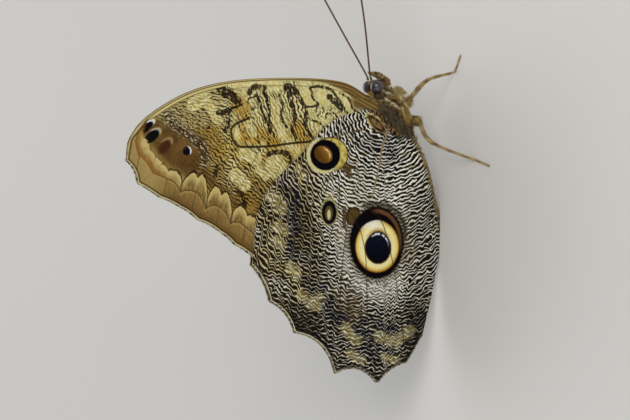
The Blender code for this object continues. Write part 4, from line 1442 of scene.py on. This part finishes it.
def eye_finish():
    """Grey-purple, with soft dark bands and fine facets under a clear gloss."""
    board = Material("eye_glass", 0.22, coat_weight=0.6, coat_roughness=0.08)
    place = board.place()
    x, z = board.put("SeparateXYZ", {"Vector": place}, (0, 2))
    waver = (place.noise(0.9, 2.0) - 0.5) * 1.6
    band = ((x * 0.5 + z * -0.85 + waver) * 6.2).math("SINE").rise(-0.3, 0.6)
    colour = board.mix(band, (62, 50, 62), (20, 15, 20))
    colour.lay(place.noise(3.0, 2.0).rise(0.5, 0.7) * 0.4, (66, 48, 44))
    facets = board.put("TexVoronoi", {"Vector": place, "Scale": 9.0}, "Distance", feature="F1")
    return board.wear(colour, None, 1.0 - facets, 0.12, 0.02)


def make_eyes():
    finish = eye_finish()
    for word, side in SIDES:
        eye = ball_piece(f"{word}_eye", (EYE[0], side * EYE[1], EYE[2]), (EYE_RADIUS,) * 3, 64, 44)
        eye.data.materials.append(finish)
        only(eye)
        bpy.ops.object.shade_smooth()
        present(eye, "eye", f"eye_{word}")


# Feelers and tongue

ANTENNA = [(8.6, 0.8, 18.9), (10.5, 1.2, 19.6), (19.9, 5.6, 23.1), (27.3, 8.7, 26.0), (33.8, 11.1, 28.6)]
ANTENNA_RADIUS = 0.23
CLUB_RADIUS = 0.48
CLUB_SHARE = 0.16
ANTENNA_RINGS = 58
TONGUE = (8.2, 14.3)
TONGUE_RADII = (0.22, 0.82)
TONGUE_TURNS = 1.35
TONGUE_STEPS = 110
THREAD_SIDES = 14


def make_thread(name, node, path, radii, finish):
    """A slim horny piece along a path."""
    places, faces = tube_shape(path, radii, THREAD_SIDES)
    thing = new_piece(name, places, faces, finish)
    shade(thing, 60)
    return present(thing, "horn_brown", node)


def antenna_finish():
    """Dark brown, with a pale line at each joint and a redder club."""
    board = Material("antenna_shell", 0.45)
    place = board.place()
    colour = board.mix(board.kept("ring"), (58, 36, 20), (128, 96, 62)).lay(board.kept("club"), (70, 40, 18))
    tint = place.noise(3.0, 2.0).rise(0.2, 0.8, 0.8, 1.2)
    return board.wear(colour, tint, place.noise(12.0, 2.0), 0.2, 0.02)


def make_antennae():
    """Long threads of short rings, each ending in a slim club."""
    finish = antenna_finish()
    count = ANTENNA_RINGS * 5 + 1
    share = np.linspace(0, 1, count)
    into_club = np.clip((share - 1 + CLUB_SHARE) / CLUB_SHARE, 0, 1)
    swelling = np.sin(math.pi * 0.82 * into_club)
    ring = np.abs(np.sin(share * math.pi * ANTENNA_RINGS))
    radii = (ANTENNA_RADIUS + (CLUB_RADIUS - ANTENNA_RADIUS) * swelling) * (0.84 + 0.16 * ring ** 0.5)
    radii[:6] *= 1.35
    for word, side in SIDES:
        path = smooth_path(ANTENNA, count) * (1, side, 1)
        thing = make_thread(f"{word}_antenna", f"antenna_{word}", path, radii, finish)
        keep(thing, ring=np.append(np.repeat(ramp(-ring, -0.5, -0.15), THREAD_SIDES), (0, 0)),
             club=np.append(np.repeat(ramp(into_club, 0.1, 0.5), THREAD_SIDES), (0, 1)))


def make_tongue():
    """A flat coil that comes down from under the head."""
    board = Material("tongue_shell", 0.4)
    place = board.place()
    colour = board.mix(place.noise(2.5, 2.0).rise(0.3, 0.7), (96, 58, 28), (58, 34, 18))
    finish = board.wear(colour, None, place.noise(10.0, 2.0), 0.25, 0.02)
    share = np.linspace(0, 1, TONGUE_STEPS)
    radius = TONGUE_RADII[0] + (TONGUE_RADII[1] - TONGUE_RADII[0]) * share
    turn = math.tau * TONGUE_TURNS * share
    path = upright(TONGUE[0] + radius * np.cos(turn), 0 * share, TONGUE[1] + radius * np.sin(turn))
    path = np.vstack([path, path[-1] + np.array([(-0.3, 0, 0.5), (-0.6, 0, 1.2)])])
    radii = np.append(0.12 + 0.13 * share, (0.26, 0.28)) * (1 + 0.06 * np.cos(np.arange(len(path)) * 2.1))
    make_thread("coiled_tongue", "tongue", path, radii, finish)


# Legs

# Each leg from hip to claws, as (x, distance from the midplane, z, radius).
MIDDLE_RIGHT = [(4.0, 2.2, 9.3, 0.55), (8.4, 6.4, 6.9, 0.5), (10.3, 8.0, 1.0, 0.36), (11.1, 8.7, 0.24, 0.33),
                (14.2, 10.8, 0.22, 0.33)]
MIDDLE_LEFT = [(4.0, 2.2, 9.3, 0.55), (6.0, 9.0, 8.6, 0.5), (5.2, 16.0, 1.1, 0.36), (5.2, 17.0, 0.24, 0.33),
               (5.6, 22.6, 0.22, 0.33)]
HIND_RIGHT = [(-1.0, 2.4, 6.8, 0.55), (-6.2, 8.4, 6.9, 0.5), (-10.2, 16.8, 1.1, 0.36),
              (-10.6, 17.8, 0.24, 0.33), (-12.1, 24.1, 0.22, 0.33)]
HIND_LEFT = [(-1.0, 2.4, 6.8, 0.55), (-6.8, 8.6, 7.0, 0.5), (-12.0, 16.6, 1.1, 0.36),
             (-12.5, 17.6, 0.24, 0.33), (-14.2, 23.9, 0.22, 0.33)]
FORELEG = [(4.9, 1.7, 11.2, 0.4), (6.4, 1.2, 12.4, 0.4), (6.3, 2.2, 11.7, 0.34), (5.2, 2.7, 10.6, 0.28)]
FORELEG_PALENESS = 0.45
LEG_STEPS, FORELEG_STEPS = 90, 50
LEG_TUFTS, FORELEG_TUFTS = 1400, 800
LEGS = {
    "midleg_right": (MIDDLE_RIGHT, -1), "midleg_left": (MIDDLE_LEFT, 1),
    "hindleg_right": (HIND_RIGHT, -1), "hindleg_left": (HIND_LEFT, 1),
    "foreleg_right": (FORELEG, -1), "foreleg_left": (FORELEG, 1),
}
THIGH_SHARE, FOOT_FROM = 0.34, 0.68
SPINES = 22
HAIR_OFF_FLOOR = 0.12


def leg_colour(share, paleness):
    """Straw and brown along a leg, or paler, at shares of its length."""
    colour = blend(0.5 + 0.5 * np.sin(share * 40), paint(190, 160, 98), paint(146, 118, 68))
    return blend(np.array([paleness]), colour, paint(226, 208, 140))


def leg_radii(share, radius, walking):
    """A swollen thigh and a slim shin, and on a walking leg five foot joints."""
    if not walking:
        return radius * (0.7 + 0.16 * np.sin(share * math.pi * 3) ** 2)
    thigh = ramp(-share, -0.36, -0.3)
    foot = ramp(share, 0.66, 0.7)
    swell = 0.66 + 0.2 * thigh * np.sin(np.clip(share / THIGH_SHARE, 0, 1) * math.pi)
    joints = np.abs(np.sin(np.clip((share - FOOT_FROM) / (1 - FOOT_FROM), 0, 1) * math.pi * 5))
    return radius * (swell * (1 - foot) + foot * (0.56 + 0.16 * joints))


def spines_and_claws(path, radii, frames):
    """Short spines round the shin and foot, and two claws at the end."""
    ways, sides, ups = frames
    shapes = []
    for step in range(SPINES):
        place = 0.4 + 0.58 * step / SPINES
        at = int(place * (len(path) - 1))
        turn = step * 2.4
        out = sides[at] * math.cos(turn) + ups[at] * abs(math.sin(turn))
        start = path[at] + out * radii[at] * 0.7
        tip = start + (out * 0.5 + ways[at]) * (0.42 if place < 0.7 else 0.26)
        tip[2] = max(tip[2], 0.03)
        shapes.append(tube_shape([start, (start + tip) / 2, tip], [0.045, 0.035, 0.008], 5))
    end, way = path[-1], ways[-1]
    level = unit(np.cross(way, (0, 0, 1))[None])[0]
    for spread in (-1, 1):
        bend = end + way * 0.28 + level * spread * 0.16 + (0, 0, 0.1)
        tip = end + way * 0.45 + level * spread * 0.2 + (0, 0, -0.1)
        shapes.append(tube_shape(smooth_path([end, bend, tip], 8), np.linspace(0.08, 0.015, 8), 6))
    return shapes


def make_leg(node, points, side, paleness, finish):
    """One leg. Gives back its line, its radii and its frames for the hair."""
    walking = points is not FORELEG
    count = LEG_STEPS if walking else FORELEG_STEPS
    line = smooth_path(points, count)
    line[:, 1] *= side
    share = np.linspace(0, 1, count)
    path, radii = line[:, :3], leg_radii(share, line[:, 3], walking)
    frames = frames_along(path)
    marks = leg_colour(share, paleness)
    marks = blend(ramp(-np.abs(share - 0.35), -0.03, -0.01), marks, paint(92, 64, 36))
    shapes = [tube_shape(path, radii, THREAD_SIDES)]
    colours = np.vstack([np.repeat(marks, THREAD_SIDES, axis=0), marks[[0, -1]]])
    if walking:
        shapes += spines_and_claws(path, radii, frames)
    places, faces = merged(shapes)
    places[:, 2] = np.maximum(places[:, 2], 0.0)
    thing = new_piece(node + "_limb", places, faces, finish)
    dark = np.tile(paint(52, 34, 20), (len(places) - len(colours), 1))
    keep_colour(thing, np.vstack([colours, dark]))
    shade(thing, 60)
    present(thing, "leg", node)
    return path, radii, frames


def leg_hair(index, walking, paleness, path, radii, frames):
    """The roots, ways, sizes and colours of one leg's tufts."""
    rng = np.random.default_rng(70 + index)
    ways, sides, ups = frames
    count, number = len(path), LEG_TUFTS if walking else FORELEG_TUFTS
    at = rng.uniform(0, 0.93, number)
    turn = rng.uniform(0, math.tau, number)
    row = np.clip((at * (count - 1)).astype(int), 0, count - 1)
    out = sides[row] * np.cos(turn)[:, None] + ups[row] * np.sin(turn)[:, None]
    roots = path[row] + ways[row] * rng.uniform(0, 0.2, number)[:, None] + out * radii[row][:, None]
    hair_ways = ways[row] + rng.normal(size=(number, 3)) * 0.2
    length = np.where(at < THIGH_SHARE, 0.75, np.where(at < FOOT_FROM, 0.45, 0.22)) if walking else 0.85
    lengths = length * rng.uniform(0.7, 1.2, number)
    lifts = np.radians(rng.uniform(8, 30, number) if walking else rng.uniform(15, 40, number))
    tone = toned(leg_colour(at, paleness), rng.uniform(0.65, 1.25, number))
    chart = np.column_stack([at, (index + turn / math.tau) / len(LEGS)])
    kept = roots[:, 2] > HAIR_OFF_FLOOR
    widths = np.full(number, 0.07)
    return [rows[kept] for rows in (roots, out, hair_ways, lengths, widths, lifts, tone, chart)]


def make_legs():
    """Four walking legs with spined shins and claws, and the two folded brushes of the forelegs."""
    board = Material("leg_scales", 0.6, sheen_weight=0.15)
    place = board.place()
    tint = place.noise(4.0, 3.0).rise(0.2, 0.8, 0.7, 1.2)
    finish = board.wear(board.kept("marking", "Color"), tint, place.noise(9.0, 2.0), 0.4, 0.03)
    batches = []
    for index, (node, (points, side)) in enumerate(LEGS.items()):
        walking = points is not FORELEG
        paleness = 0.0 if walking else FORELEG_PALENESS
        leg = make_leg(node, points, side, paleness, finish)
        batches.append(leg_hair(index, walking, paleness, *leg))
    tufts = (np.concatenate(rows) for rows in zip(*batches))
    make_tufts("leg_coat", *tufts, coat_finish(), "leg")


# Hair on the wings

GOLD, DARK, BRONZE, PALE = paint(190, 156, 80), paint(20, 18, 20), paint(118, 96, 52), paint(206, 194, 150)

# Each tract: the wing's depth, a line along it, how many tufts and how far they stray, their way
# (outwards if there is none), length, lift in degrees, and the two colours they mix.
WING_TRACTS = [
    (hindwing_depth, [(2.4, 17.4), (0.6, 15.6), (-1.6, 13.6), (-4.2, 10.4)], 1000, 0.55, (-0.8, -0.15),
     1.6, 14, (DARK, BRONZE)),
    (hindwing_depth, HIND_INNER[:6], 900, 0.35, (-0.9, -0.3), 1.1, 8, (GOLD, DARK)),
    (forewing_depth, FORE_COSTA[:2], 260, 0.3, (0.1, 1.0), 0.8, 8, (GOLD, DARK)),
    (hindwing_depth, scalloped_edge(HIND_TIPS, HIND_SAGS, 12), 2600, 0.04, None, 0.34, 2, (PALE, DARK)),
    (forewing_depth, scalloped_edge(FORE_TIPS, FORE_SAGS, 12), 1900, 0.04, None, 0.34, 2, (PALE, DARK)),
]


def wing_hair_roots(depth, line, count, spread, rng):
    """Places on a wing's outer face near a line, with the direction out of the wing at each."""
    share = rng.uniform(0, 1, count)
    x, z = (along_edge(smooth_path(line, 60), share) + rng.normal(size=(count, 2)) * spread).T
    out = depth(x, z)
    step = 0.05
    slope_x, slope_z = (depth(x + step, z) - out) / step, (depth(x, z + step) - out) / step
    return upright(x, out + BLADE_THICKNESS / 2, z), unit(upright(-slope_x, np.ones(count), -slope_z)), share


def make_wing_hair():
    """Long golden hair over the wing roots and inner edges, and the wings' fine fringes."""
    finish = coat_finish()
    for word, side in SIDES:
        mirror = np.array((1, side, 1))
        parts = []
        for index, (depth, line, count, spread, way, length, lift, tones) in enumerate(WING_TRACTS):
            rng = np.random.default_rng(90 + index)
            roots, normals, share = wing_hair_roots(depth, line, count, spread, rng)
            if way is None:
                x, z = (roots[:, [0, 2]] - np.array(WING_MIDDLE)).T
                ways = unit(upright(x, np.zeros(count), z)) + rng.normal(size=(count, 3)) * 0.25
                roots[:, 1] -= BLADE_THICKNESS / 2
            else:
                ways = np.tile((way[0], 0.0, way[1]), (count, 1)) + rng.normal(size=(count, 3)) * 0.22
            mottle = ramp(ripple(roots, 0.8, 95 + index) + rng.normal(0, 0.5, count), -0.6, 0.6)
            chart = np.column_stack([share, (index + rng.random(count) * 0.9) / len(WING_TRACTS)])
            lengths = length * rng.uniform(0.6, 1.15, count)
            lifts = np.radians(lift) * rng.uniform(0.4, 1.6, count)
            parts.append((roots * mirror, normals * mirror, ways * mirror, lengths,
                          np.full(count, 0.1 if way else 0.09), lifts, blend(mottle, *tones), chart))
        tufts = (np.concatenate(rows) for rows in zip(*parts))
        make_tufts(f"{word}_wing_hair", *tufts, finish)


# Floor, light and camera

FLOOR_RADIUS = 2.5
FLOOR_SIDES = 96

# The lamps, in metres and watts.
LAMPS = [
    ("key", (0.34, -0.62, 0.55), 0.5, 3.4, (1.0, 0.97, 0.92)),
    ("fill", (-0.5, -0.55, 0.4), 0.7, 1.2, (0.92, 0.96, 1.0)),
    ("back", (0.1, 0.7, 0.5), 0.7, 2.0, (1.0, 1.0, 1.0)),
]
LAMP_AIM = (0.0, 0.0, 0.04)


def make_floor():
    clear_selection()
    bpy.ops.mesh.primitive_circle_add(vertices=FLOOR_SIDES, radius=FLOOR_RADIUS, fill_type="NGON")
    floor = bpy.context.object
    floor.name = "floor"
    board = Material("floor_paint", 0.8)
    cloud = board.put("TexCoord", gives="Object").noise(3.0, 4.0)
    floor.data.materials.append(board.wear(board.mix(cloud, (214, 211, 205), (222, 219, 214))))


def make_light():
    for name, place, size, power, colour in LAMPS:
        data = bpy.data.lights.new(name, "AREA")
        data.size = size
        data.energy = power
        data.color = colour
        light = placed(name, data)
        light.location = place
        aim = Vector(LAMP_AIM) - Vector(place)
        light.rotation_euler = aim.to_track_quat("-Z", "Y").to_euler()
    room = bpy.data.worlds.new("room")
    room.use_nodes = True
    inputs = room.node_tree.nodes["Background"].inputs
    inputs["Color"].default_value = (0.93, 0.96, 1.0, 1.0)
    inputs["Strength"].default_value = 0.45
    bpy.context.scene.world = room
    bpy.context.scene.view_settings.view_transform = "Standard"


def make_camera():
    data = bpy.data.cameras.new("camera")
    data.sensor_width = SENSOR
    data.lens = SENSOR * CAMERA_DISTANCE / (PICTURE[0] * PIXEL)
    data.clip_start = 0.01
    data.clip_end = 10.0
    camera = placed("camera", data)
    sine, cosine = math.sin(CAMERA_DOWN), math.cos(CAMERA_DOWN)
    turn = Matrix(((0.0, 1.0, 0.0), (-sine, 0.0, -cosine), (-cosine, 0.0, sine)))
    x = THORAX_X + (THORAX_ROW - PICTURE[1] / 2) * PIXEL
    z = (FLOOR_COLUMN - PICTURE[0] / 2) * PIXEL / cosine + CAMERA_DISTANCE * sine
    camera.matrix_world = Matrix.Translation(Vector((x, -CAMERA_DISTANCE * cosine, z)) * MM) @ turn.to_4x4()
    bpy.context.scene.camera = camera


make_camera()
make_light()
make_floor()
make_wings()
make_body_coat(make_skin())
make_eyes()
make_antennae()
make_tongue()
make_legs()
make_wing_hair()
